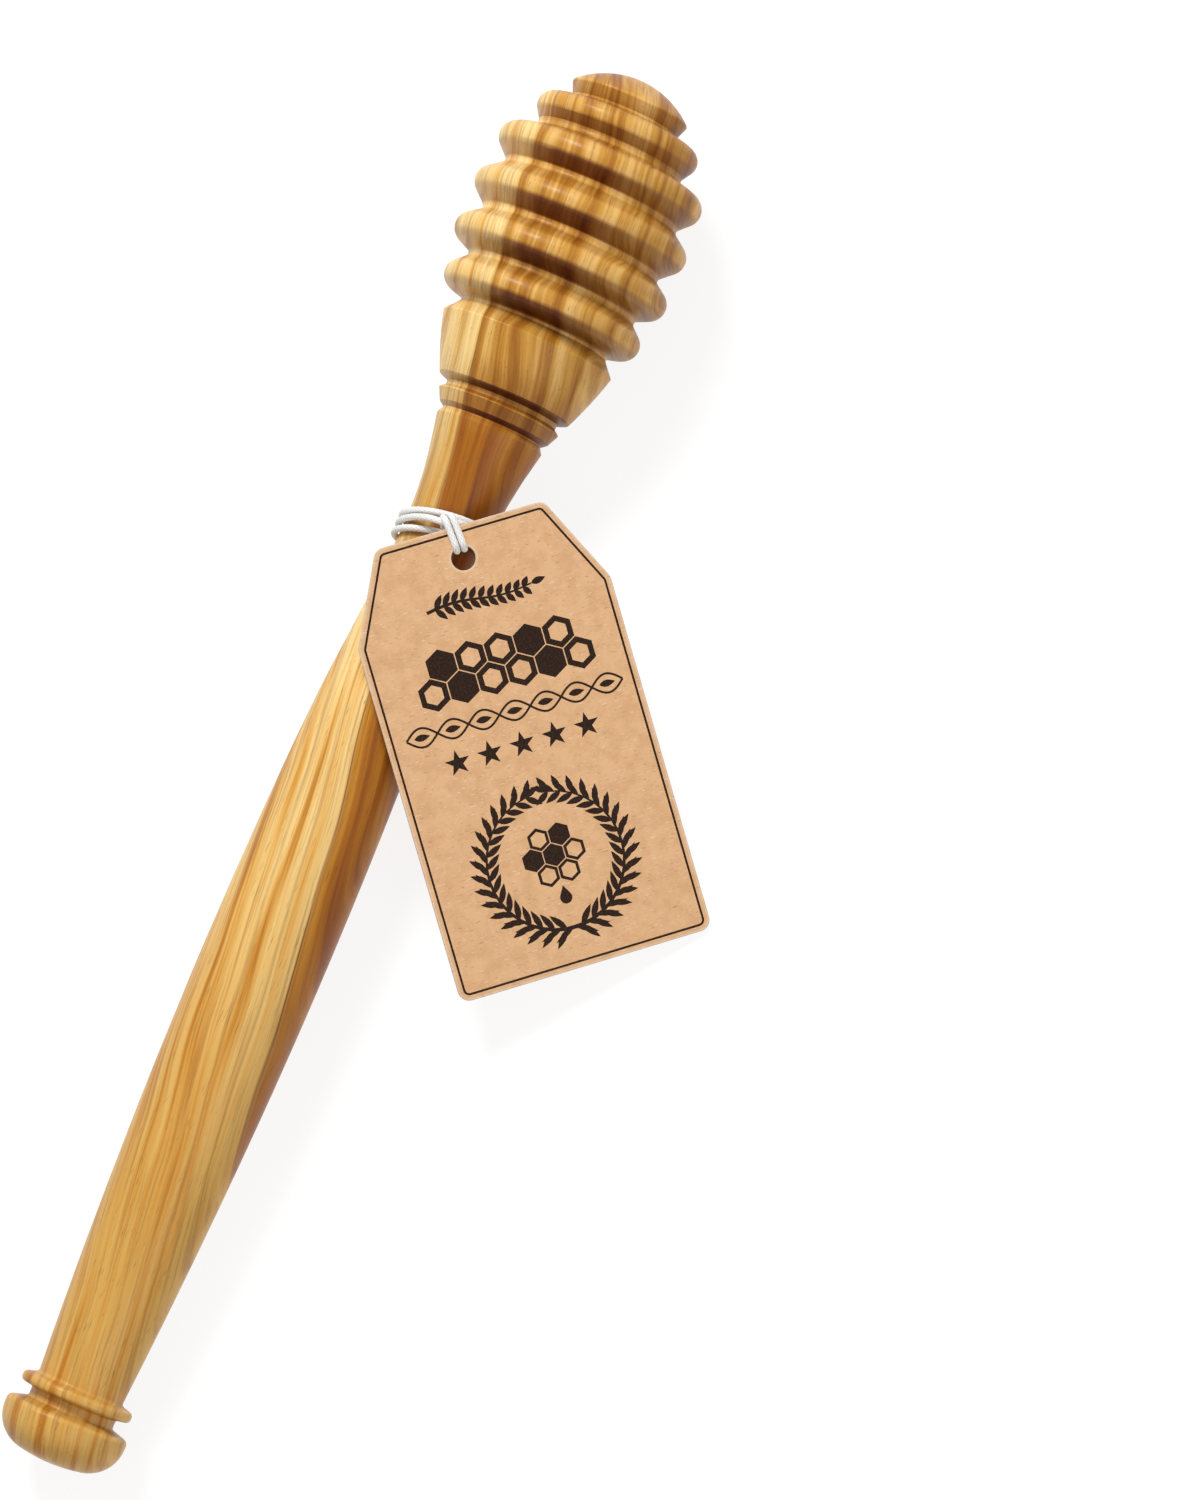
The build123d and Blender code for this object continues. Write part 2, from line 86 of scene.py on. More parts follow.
def linear(colour: str, alpha: float = 1.0) -> tuple[float, float, float, float]:
    """Turn an sRGB hex colour into a linear one.

    Args:
        colour: The colour as "#RRGGBB".
        alpha: The fourth number of the result.

    Returns:
        Red, green and blue in linear light, and alpha.
    """
    channels = (int(colour[place : place + 2], 16) / 255 for place in (1, 3, 5))
    red, green, blue = (c / 12.92 if c <= 0.04045 else ((c + 0.055) / 1.055) ** 2.4 for c in channels)
    return red, green, blue, alpha


WHITE = linear("#FFFFFF")


def add_node(
    tree: bpy.types.NodeTree,
    kind: str,
    inputs: Optional[dict[Union[str, int], SocketValue]] = None,
    stops: Stops = (),
    **settings: object,
) -> bpy.types.Node:
    """Add a node with its settings, values and links.

    Args:
        tree: The node tree that gets it.
        kind: Blender's name of the node type, without the leading ShaderNode.
        inputs: For each input, by name or number, a value or the output that feeds it.
        stops: Positions and hex colours of a colour ramp, its two ends first.
        settings: The node's own properties.

    Returns:
        The new node.
    """
    node = tree.nodes.new("ShaderNode" + kind)
    for name, value in settings.items():
        setattr(node, name, value)
    for place, (position, colour) in enumerate(stops):
        elements = node.color_ramp.elements
        stop = elements[place] if place < 2 else elements.new(position)
        stop.position, stop.color = position, linear(colour)
    for name, value in (inputs or {}).items():
        if isinstance(value, bpy.types.NodeSocket):
            tree.links.new(value, node.inputs[name])
        else:
            node.inputs[name].default_value = value
    return node


def new_material(name: str) -> tuple[bpy.types.Material, bpy.types.NodeTree]:
    """Make an empty node material.

    Args:
        name: Name of the material.

    Returns:
        The material and its node tree.
    """
    material = bpy.data.materials.new(name)
    material.use_nodes = True
    material.node_tree.nodes.clear()
    return material, material.node_tree


def add_object(name: str, data: bpy.types.ID) -> bpy.types.Object:
    """Put data in the scene as an object.

    Args:
        name: Name of the object.
        data: Its mesh, curve, camera or lamp.

    Returns:
        The new object.
    """
    thing = bpy.data.objects.new(name, data)
    bpy.context.scene.collection.objects.link(thing)
    return thing


def add_piece(name: str, builder: bmesh.types.BMesh) -> bpy.types.Object:
    """Put a finished mesh in the scene as an object.

    Args:
        name: Name of the object and its mesh.
        builder: The mesh, which is used up.

    Returns:
        The new object.
    """
    mesh = bpy.data.meshes.new(name)
    builder.to_mesh(mesh)
    builder.free()
    return add_object(name, mesh)


# ---------------------------------------------------------------- frames


@dataclass(frozen=True)
class DipperFrame:
    """The frame along the dipper's axis, X to the head and Z up."""

    start: Point3 = (-89.9367, 0.0, 7.5043)
    lean: float = 2.28979  # degrees

    def turn(self) -> Matrix:
        """Rotation from this frame to the world's."""
        return Matrix.Rotation(-math.radians(self.lean), 3, "Y")

    def placed(self, point: Vector) -> Vector:
        """A point of this frame in the world, in metres."""
        return (Vector(self.start) + self.turn() @ point) * MM

    def on_neck(self, station: float, radius: float, angle: float) -> Vector:
        """Point beside the neck.

        Args:
            station: Distance along the axis from the pommel's end.
            radius: Distance from the axis.
            angle: Degrees round it from the top, towards the side of the tag.

        Returns:
            The point in this frame.
        """
        bend = math.radians(angle)
        return Vector((station, -radius * math.sin(bend), radius * math.cos(bend)))


@dataclass(frozen=True)
class CardFrame:
    """The card's frame about the turn of cord that it hangs on.

    X runs across the card, Y along it towards its top, and Z out of its printed face.
    """

    eye: Point3 = (31.059, -1.571, 20.142)
    across: Point3 = (0.64978, -0.72258, -0.23595)
    normal: Point3 = (-0.06661, -0.36334, 0.92927)

    def turn(self) -> Matrix:
        """Rotation from this frame to the world's.

        Returns:
            The matrix, its three axes at right angles to the last digit.
        """
        normal = Vector(self.normal).normalized()
        across = (Vector(self.across) - normal * Vector(self.across).dot(normal)).normalized()
        return Matrix((across, normal.cross(across), normal)).transposed()

    def placed(self, point: Vector) -> Vector:
        """A point of this frame in the world, in metres."""
        return (Vector(self.eye) + self.turn() @ point) * MM


DIPPER_FRAME = DipperFrame()
CARD_FRAME = CardFrame()


# ---------------------------------------------------------------- finishes
#
# A colour Mix node takes its share at input 0 and its two colours at 6 and 7, and gives the
# result at output 2. A Map Range node takes a value, the range it comes from, and the range
# it goes to, at inputs 0 to 4.


@dataclass(frozen=True)
class OiledOliveWood:
    """Olive wood, turned, sanded and oiled.

    Sanding and a thin coat of oil leave it satin, with one broad soft highlight. The oil deepens the
    brown of the heartwood, of the pores and of the end-grain faces. Shade is painted into its colour as
    well: on the faces that look at the pommel, in the grooves and under the card.
    """

    # Normal of the growth layers in the dipper's frame: they stand upright and slant 7 degrees
    # across it. The heartwood begins at this distance along the normal.
    layer_way: Point3 = (0.117, -0.995, -0.136)
    heart_edge: float = 12.31
    # Late-wood lines: millimetres from the heartwood's edge, and how dark each one is.
    lines: tuple[Point2, ...] = (
        (-7.4, 0.40),
        (-5.3, 0.70),
        (-3.7, 0.30),
        (-2.5, 0.75),
        (-1.2, 0.25),
        (0.0, 1.0),
        (2.1, 0.50),
        (4.0, 0.60),
        (6.2, 0.55),
    )
    line_half_width: float = 0.22
    lines_reach: float = 16.0
    # Colours of the streaks, the ramp's two ends first. The head's heartwood is the paler one.
    sapwood: Stops = (
        (0.30, "#A66A1E"),
        (0.72, "#EFC06C"),
        (0.39, "#D99C3E"),
        (0.46, "#F0C170"),
        (0.57, "#FADA96"),
    )
    neck_heartwood: Stops = (
        (0.30, "#743B04"),
        (0.72, "#D09638"),
        (0.41, "#9C580A"),
        (0.50, "#B26E14"),
        (0.59, "#C08024"),
    )
    head_heartwood: Stops = (
        (0.30, "#905616"),
        (0.72, "#EABF72"),
        (0.40, "#B87C2A"),
        (0.49, "#D29B44"),
        (0.58, "#E6B566"),
    )
    # Shares of the length: the wood is more golden towards the pommel and at the waist.
    tone: Stops = (
        (0.0, "#DFCCA4"),
        (1.0, "#FFFFFF"),
        (0.19, "#DCC696"),
        (0.39, "#F2E8D4"),
        (0.60, "#FFFFFF"),
        (0.69, "#E1D6C2"),
        (0.78, "#FFFFFF"),
    )
    # End-grain faces, darkened by the oil, with painted shade on top: from faces that look at the pommel,
    # the darkest, to faces that look at the head.
    endgrain_and_shade: Stops = (
        (0.0, "#6E4A30"),
        (1.0, "#DCC8B0"),
        (0.20, "#946E50"),
        (0.33, "#FFFFFF"),
        (0.80, "#FFFFFF"),
    )
    late_wood: str = "#7E4610"
    fine_streak: str = "#8A5012"
    pore: str = "#5A2E0C"
    # Painted shade for the grooves and under the card, and the distance within which cover darkens a
    # face, in millimetres.
    groove_shade: str = "#4E2404"
    groove_depth: float = 5.0

    def line_stops(self) -> Stops:
        """Colour ramp across the growth layers.

        Returns:
            Stops that are light on the late-wood lines and black between them.
        """
        stops = [(0.0, "#000000"), (1.0, "#000000")]
        for place, depth in self.lines:
            grey = "#" + 3 * f"{round(255 * depth):02X}"
            for offset, colour in ((-1, "#000000"), (0, grey), (1, "#000000")):
                edge = place + offset * self.line_half_width + self.lines_reach
                stops.append((edge / (2 * self.lines_reach), colour))
        return stops

    def grain(
        self, tree: bpy.types.NodeTree, source: bpy.types.NodeSocket, cells: Point3, detail: float
    ) -> bpy.types.NodeSocket:
        """A pattern that is stretched along the grain.

        Args:
            tree: The node tree that gets it.
            source: The place it is drawn at.
            cells: Its number of cells in each millimetre along the three directions.
            detail: Number of finer layers in it.

        Returns:
            The pattern's output.
        """
        stretched = add_node(tree, "Mapping", {"Vector": source, "Scale": cells}).outputs[0]
        noise = {"Vector": stretched, "Scale": 1.0, "Detail": detail, "Roughness": 0.55}
        return add_node(tree, "TexNoise", noise).outputs[0]

    def material(self) -> bpy.types.Material:
        """Build the wood's material.

        Returns:
            The material.
        """
        material, tree = new_material("olive_wood_turned_and_oiled")
        place = add_node(
            tree,
            "Mapping",
            {
                "Vector": add_node(tree, "TexCoord").outputs["Object"],
                "Location": [value * MM for value in DIPPER_FRAME.start],
                "Rotation": (0.0, -math.radians(DIPPER_FRAME.lean), 0.0),
                "Scale": (MM, MM, MM),
            },
            vector_type="TEXTURE",
        ).outputs[0]
        along, _, up = add_node(tree, "SeparateXYZ", {0: place}).outputs

        # Growth layers. They wander some 2 mm in 30 mm of length in the heartwood, which draws
        # its arches, and less outside it.
        layers = {0: place, 1: self.layer_way}
        depth = add_node(tree, "VectorMath", layers, operation="DOT_PRODUCT").outputs["Value"]
        edge = {0: depth, 1: self.heart_edge}
        depth = add_node(tree, "Math", edge, operation="SUBTRACT").outputs[0]
        waves = {0: self.grain(tree, place, (0.032, 0.07, 0.07), 1.5), 1: 0.5}
        waves = add_node(tree, "Math", waves, operation="SUBTRACT").outputs[0]
        reach = add_node(tree, "MapRange", {0: depth, 1: -1.0, 2: 3.0, 3: 3.2, 4: 7.0}).outputs[0]
        wander = add_node(tree, "Math", {0: waves, 1: reach}, operation="MULTIPLY").outputs[0]
        ring = add_node(tree, "Math", {0: depth, 1: wander}, operation="ADD").outputs[0]
        layer = add_node(tree, "CombineXYZ", {0: ring, 1: along, 2: up}).outputs[0]

        # Broad streaks are 1 to 2 mm wide and run on for 60 mm and more; fine ones are 0.3 mm
        # wide. Pores are dark dashes 0.15 mm wide and 3 mm long.
        broad = self.grain(tree, layer, (0.62, 0.014, 0.05), 3.0)
        fine = self.grain(tree, layer, (3.4, 0.05, 0.30), 3.0)
        pores = self.grain(tree, place, (0.33, 6.5, 6.5), 2.0)

        # How far a face looks towards the head, and how open the space before it is.
        looks = {
            0: add_node(tree, "NewGeometry").outputs["Normal"],
            1: DIPPER_FRAME.turn() @ Vector((1.0, 0.0, 0.0)),
        }
        facing = add_node(tree, "VectorMath", looks, operation="DOT_PRODUCT").outputs["Value"]
        space = {"Distance": self.groove_depth * MM}
        openness = add_node(tree, "AmbientOcclusion", space, samples=8).outputs["AO"]

        # What each share goes by, the two ends of that, and the share at both ends.
        ranges = {
            "line place": (ring, -self.lines_reach, self.lines_reach, 0.0, 1.0),
            "length": (along, 0.0, 180.0, 0.0, 1.0),
            "facing": (facing, -1.0, 1.0, 0.0, 1.0),
            "head": (along, 132.0, 142.0, 0.0, 1.0),
            "heartwood": (ring, -0.15, 0.30, 0.0, 1.0),
            # A late-wood line comes and goes along its length.
            "broken line": (fine, 0.34, 0.58, 0.25, 1.0),
            "fine streak": (fine, 0.50, 0.32, 0.0, 0.42),
            "pore": (pores, 0.36, 0.27, 0.0, 0.5),
            # The endgrain darkening and the painted shade are strongest in the middle of the heartwood
            # and weaker on either side.
            "darkening before": (ring, -3.0, 2.0, 0.30, 1.0),
            "darkening behind": (ring, 8.0, 15.0, 1.0, 0.50),
            "endgrain and shade": (along, 12.0, 130.0, 0.35, 1.0),
            # Painted shade: a face is darkened where the space before it is closed in, in the grooves and
            # under the card.
            "groove": (openness, 0.80, 0.20, 0.0, 0.70),
        }
        share = {
            name: add_node(tree, "MapRange", dict(enumerate(ends))).outputs[0]
            for name, ends in ranges.items()
        }
        ramps = {
            "sapwood": (broad, self.sapwood),
            "neck": (broad, self.neck_heartwood),
            "head": (broad, self.head_heartwood),
            "line": (share["line place"], self.line_stops()),
            "tone": (share["length"], self.tone),
            "endgrain and shade": (share["facing"], self.endgrain_and_shade),
        }
        tint = {
            name: add_node(tree, "ValToRGB", {"Fac": source}, stops=stops).outputs[0]
            for name, (source, stops) in ramps.items()
        }
        darkening = {0: share["darkening before"], 1: share["darkening behind"]}
        darkening = add_node(tree, "Math", darkening, operation="MINIMUM").outputs[0]
        line_share, endgrain_and_shade_share, painted_shade_share = (
            add_node(tree, "Math", {0: first, 1: second}, operation="MULTIPLY").outputs[0]
            for first, second in (
                (tint["line"], share["broken line"]),
                (share["endgrain and shade"], darkening),
                (share["groove"], darkening),
            )
        )
        heart = {0: share["head"], 6: tint["neck"], 7: tint["head"]}
        heartwood = add_node(tree, "Mix", heart, data_type="RGBA").outputs[2]
        colour = tint["sapwood"]
        for amount, coat, blend in (
            (share["heartwood"], heartwood, "MIX"),
            (line_share, linear(self.late_wood), "MIX"),
            (1.0, tint["tone"], "MULTIPLY"),
            (share["fine streak"], linear(self.fine_streak), "MIX"),
            (share["pore"], linear(self.pore), "MIX"),
            # Painted shade: the end-grain faces that look at the pommel are darkened far more than those
            # that look at the head.
            (endgrain_and_shade_share, tint["endgrain and shade"], "MULTIPLY"),
            # Painted shade in the grooves and under the card.
            (painted_shade_share, linear(self.groove_shade), "MIX"),
        ):
            laid = {0: amount, 6: colour, 7: coat}
            colour = add_node(tree, "Mix", laid, data_type="RGBA", blend_type=blend).outputs[2]

        # Turning marks 0.4 mm apart round the axis, under a grain 0.02 mm deep.
        marks = {0: self.grain(tree, place, (2.5, 0.03, 0.03), 1.0), 1: 0.6, 2: pores}
        height = add_node(tree, "Math", marks, operation="MULTIPLY_ADD").outputs[0]
        relief = {"Height": height, "Strength": 0.35, "Distance": 0.04 * MM}
        surface = {
            "Base Color": colour,
            "Roughness": 0.40,
            "IOR": 1.50,
            "Specular IOR Level": 0.22,
            "Coat Weight": 0.06,
            "Coat Roughness": 0.15,
            "Coat IOR": 1.47,
            "Normal": add_node(tree, "Bump", relief).outputs[0],
        }
        shader = add_node(tree, "BsdfPrincipled", surface)
        add_node(tree, "OutputMaterial", {"Surface": shader.outputs[0]})
        return material


@dataclass(frozen=True)
class KraftBoard:
    """Kraft board of 0.45 mm, die-cut.

    It has no coating, so it is dull, and pale and dark fibres of the pulp show in its face.
    """

    name: str = "kraft_board_die_cut"
    face: str = "#E4B689"
    cloud: str = "#D9AA7D"
    # Fibres that lie in the surface: direction in degrees and colour.
    fibres: tuple[tuple[float, str], ...] = (
        (20.0, "#F0D6B6"),
        (75.0, "#B78656"),
        (130.0, "#ECCFAC"),
        (165.0, "#C0926A"),
    )

    def material(self) -> bpy.types.Material:
        """Build the board's material.

        Returns:
            The material.
        """
        material, tree = new_material(self.name)
        sheet = add_node(tree, "UVMap", uv_map="card").outputs[0]
        # Clouds of fibre 2 to 3 mm across, then single fibres 1 mm long and 0.12 mm wide.
        cloud = {"Vector": sheet, "Scale": 0.45, "Detail": 5.0, "Roughness": 0.65}
        cloud = add_node(tree, "TexNoise", cloud).outputs[0]
        share = add_node(tree, "MapRange", {0: cloud, 1: 0.42, 2: 0.62}).outputs[0]
        clouds = {0: share, 6: linear(self.face), 7: linear(self.cloud)}
        colour = add_node(tree, "Mix", clouds, data_type="RGBA").outputs[2]
        for turn, tint in self.fibres:
            laid = {"Vector": sheet, "Rotation": (0.0, 0.0, math.radians(turn)), "Scale": (0.9, 5.5, 1.0)}
            laid = {"Vector": add_node(tree, "Mapping", laid).outputs[0], "Scale": 1.0, "Detail": 2.0}
            fibre = add_node(tree, "TexNoise", laid).outputs[0]
            share = add_node(tree, "MapRange", {0: fibre, 1: 0.655, 2: 0.72, 4: 0.85}).outputs[0]
            strands = {0: share, 6: colour, 7: linear(tint)}
            colour = add_node(tree, "Mix", strands, data_type="RGBA").outputs[2]
        # The board's tooth: bumps 0.17 mm across.
        tooth = {"Vector": sheet, "Scale": 6.0, "Detail": 3.0}
        tooth = add_node(tree, "TexNoise", tooth).outputs[0]
        relief = {"Height": tooth, "Strength": 0.30, "Distance": 0.03 * MM}
        surface = {
            "Base Color": colour,
            "Roughness": 0.88,
            "Specular IOR Level": 0.15,
            "Normal": add_node(tree, "Bump", relief).outputs[0],
        }
        shader = add_node(tree, "BsdfPrincipled", surface)
        add_node(tree, "OutputMaterial", {"Surface": shader.outputs[0]})
        return material


@dataclass(frozen=True)
class PrintedInk:
    """Dark-brown offset ink on kraft board.

    It soaks in, so it is as dull as the board and a little thinner in places.
    """

    ink: str = "#25160E"
    thin_ink: str = "#3B281C"

    def material(self) -> bpy.types.Material:
        """Build the ink's material.

        Returns:
            The material.
        """
        material, tree = new_material("offset_ink_on_kraft")
        sheet = add_node(tree, "UVMap", uv_map="card").outputs[0]
        # The board's tooth takes less ink in spots 0.2 mm across.
        spots = {"Vector": sheet, "Scale": 4.0, "Detail": 3.0}
        spots = add_node(tree, "TexNoise", spots).outputs[0]
        share = add_node(tree, "MapRange", {0: spots, 1: 0.48, 2: 0.66}).outputs[0]
        inks = {0: share, 6: linear(self.ink), 7: linear(self.thin_ink)}
        colour = add_node(tree, "Mix", inks, data_type="RGBA").outputs[2]
        surface = {"Base Color": colour, "Roughness": 0.75, "Specular IOR Level": 0.15}
        shader = add_node(tree, "BsdfPrincipled", surface)
        add_node(tree, "OutputMaterial", {"Surface": shader.outputs[0]})
        return material


@dataclass(frozen=True)
class Braid:
    """The cord's braided cover: yarns round it, and millimetres along it for a yarn's full turn."""

    yarns: int = 12
    pitch: float = 1.3
    relief: float = 0.022


@dataclass(frozen=True)
class BraidedElastic:
    """White elastic cord with a braided polyester cover.

    The yarns are bright and matt; the folds where they cross are painted a shaded grey.
    """

    cover: str = "#F8F7F2"
    # Painted shade: the grey of the folds where the yarns cross.
    crease_shade: str = "#C9CCD2"
    braid: Braid = Braid()

    def material(self) -> bpy.types.Material:
        """Build the cord's material.

        Returns:
            The material.
        """
        material, tree = new_material("elastic_cord_braided_polyester")
        cord = add_node(tree, "UVMap", uv_map="cord").outputs[0]
        round_it, along_it, _ = add_node(tree, "SeparateXYZ", {0: cord}).outputs
        # The same crossing yarns as in the tube's relief: a half of each yarn's width along and
        # round the cord.
        waves = []
        for way, repeat in (
            (round_it, self.braid.yarns * math.pi),
            (along_it, 4 * math.pi / self.braid.pitch),
        ):
            phase = add_node(tree, "Math", {0: way, 1: repeat}, operation="MULTIPLY").outputs[0]
            waves.append(add_node(tree, "Math", {0: phase}, operation="COSINE").outputs[0])
        height = add_node(tree, "Math", dict(enumerate(waves)), operation="SUBTRACT").outputs[0]
        height = add_node(tree, "Math", {0: height}, operation="ABSOLUTE").outputs[0]
        share = add_node(tree, "MapRange", {0: height, 1: 0.0, 2: 0.55}).outputs[0]
        # Painted shade: grey in the low folds between the crossing yarns, white on their tops.
        yarn = {0: share, 6: linear(self.crease_shade), 7: linear(self.cover)}
        colour = add_node(tree, "Mix", yarn, data_type="RGBA").outputs[2]
        surface = {"Base Color": colour, "Roughness": 0.62, "IOR": 1.53, "Sheen Weight": 0.15}
        shader = add_node(tree, "BsdfPrincipled", surface)
        add_node(tree, "OutputMaterial", {"Surface": shader.outputs[0]})
        return material


# ---------------------------------------------------------------- cord

SPLINE_ORDER = 3  # so the line touches each side of its control polygon
SPLINE_STEPS = 12  # for each control point
SHORTEST = 1e-12  # metres; a step of no length isn't divided by


def smooth_line(name: str, points: Sequence[Vector]) -> list[Vector]:
    """Follow a cord's route with one smooth spline.

    Args:
        name: Name of the route.
        points: Control points in the world, in metres.

    Returns:
        Points along the spline, in order.
    """
    curve = bpy.data.curves.new(name, "CURVE")
    curve.dimensions = "3D"
    spline = curve.splines.new("NURBS")
    spline.points.add(len(points) - 1)
    for control, point in zip(spline.points, points):
        control.co = (*point, 1.0)
    spline.order_u = SPLINE_ORDER
    spline.use_endpoint_u = True
    spline.resolution_u = SPLINE_STEPS
    holder = add_object(name, curve)
    line = bpy.data.meshes.new_from_object(holder)
    places = [vertex.co.copy() for vertex in line.vertices]
    bpy.data.objects.remove(holder)
    bpy.data.curves.remove(curve)
    bpy.data.meshes.remove(line)
    return places


def even_steps(places: Sequence[Vector], step: float) -> list[Vector]:
    """Walk a line at even steps.

    Args:
        places: Points along the line.
        step: Wanted distance between two points of the result, in metres.

    Returns:
        Points at even distances, the line's two ends included.
    """
    marks = [0.0]
    for start, end in zip(places, places[1:]):
        marks.append(marks[-1] + (end - start).length)
    count = max(2, round(marks[-1] / step))
    walked, span = [], 0
    for index in range(count + 1):
        mark = marks[-1] * index / count
        while span < len(marks) - 2 and marks[span + 1] < mark:
            span += 1
        share = (mark - marks[span]) / max(marks[span + 1] - marks[span], SHORTEST)
        walked.append(places[span].lerp(places[span + 1], min(share, 1.0)))
    return walked


def joined(name: str, parts: Sequence[bpy.types.Object]) -> bpy.types.Object:
    """Join mesh objects into one.

    Args:
        name: Name of the result.
        parts: The objects, which are used up.

    Returns:
        The joined object.
    """
    builder = bmesh.new()
    for part in parts:
        builder.from_mesh(part.data)
        mesh = part.data
        bpy.data.objects.remove(part)
        bpy.data.meshes.remove(mesh)
    return add_piece(name, builder)


@dataclass(frozen=True)
class BraidedCord:
    """A round elastic cord with a braided cover, as a mesh tube."""

    diameter: float = 0.84
    braid: Braid = Braid()
    around: int = 32
    step: float = 0.07

    def radius_at(self, angle: float, distance: float) -> float:
        """Distance of the cover from the cord's middle.

        Args:
            angle: Radians round the cord.
            distance: Millimetres along it.

        Returns:
            The radius in millimetres.
        """
        twist = 2 * math.pi * distance / self.braid.pitch
        right = math.sin(self.braid.yarns / 4 * angle + twist)
        left = math.sin(self.braid.yarns / 4 * angle - twist)
        height = abs(right * left) ** 0.5
        return self.diameter / 2 - self.braid.relief + self.braid.relief * height

    def tube(self, name: str, line: Sequence[Vector]) -> bpy.types.Object:
        """Build the tube along a line, closed at both ends.

        Args:
            name: Name of the piece.
            line: Points that the cord's middle follows, in the world, in metres.

        Returns:
            The cord's mesh object. Its UV map holds shares of a turn and millimetres of length.
        """
        places = even_steps(line, self.step * MM)
        builder = bmesh.new()
        uv_layer = builder.loops.layers.uv.new("cord")
        side = (places[1] - places[0]).normalized().orthogonal().normalized()
        rings, distances = [], []
        distance = 0.0
        for index, place in enumerate(places):
            if index:
                distance += (place - places[index - 1]).length / MM
            ahead = places[min(index + 1, len(places) - 1)] - places[max(index - 1, 0)]
            heading = ahead.normalized()
            side = (side - heading * side.dot(heading)).normalized()
            up = heading.cross(side)
            ring = []
            for step in range(self.around):
                angle = 2 * math.pi * step / self.around
                radius = self.radius_at(angle, distance) * MM
                outwards = side * math.cos(angle) + up * math.sin(angle)
                ring.append(builder.verts.new(place + outwards * radius))
            rings.append(ring)
            distances.append(distance)
        for index, (near, far) in enumerate(zip(rings, rings[1:])):
            for step in range(self.around):
                after = (step + 1) % self.around
                face = builder.faces.new((near[step], near[after], far[after], far[step]))
                face.smooth = True
                turns = ((step, 0), (step + 1, 0), (step + 1, 1), (step, 1))
                for loop, (turn, later) in zip(face.loops, turns):
                    loop[uv_layer].uv = (turn / self.around, distances[index + later])
        builder.faces.new(list(reversed(rings[0])))
        builder.faces.new(rings[-1])
        return add_piece(name, builder)


def swell(offset: float, half_width: float) -> float:
    """A smooth swell of height 1 about zero, which ends at half its width on either side."""
    return math.cos(math.pi * offset / (2 * half_width)) if abs(offset) < half_width else 0.0


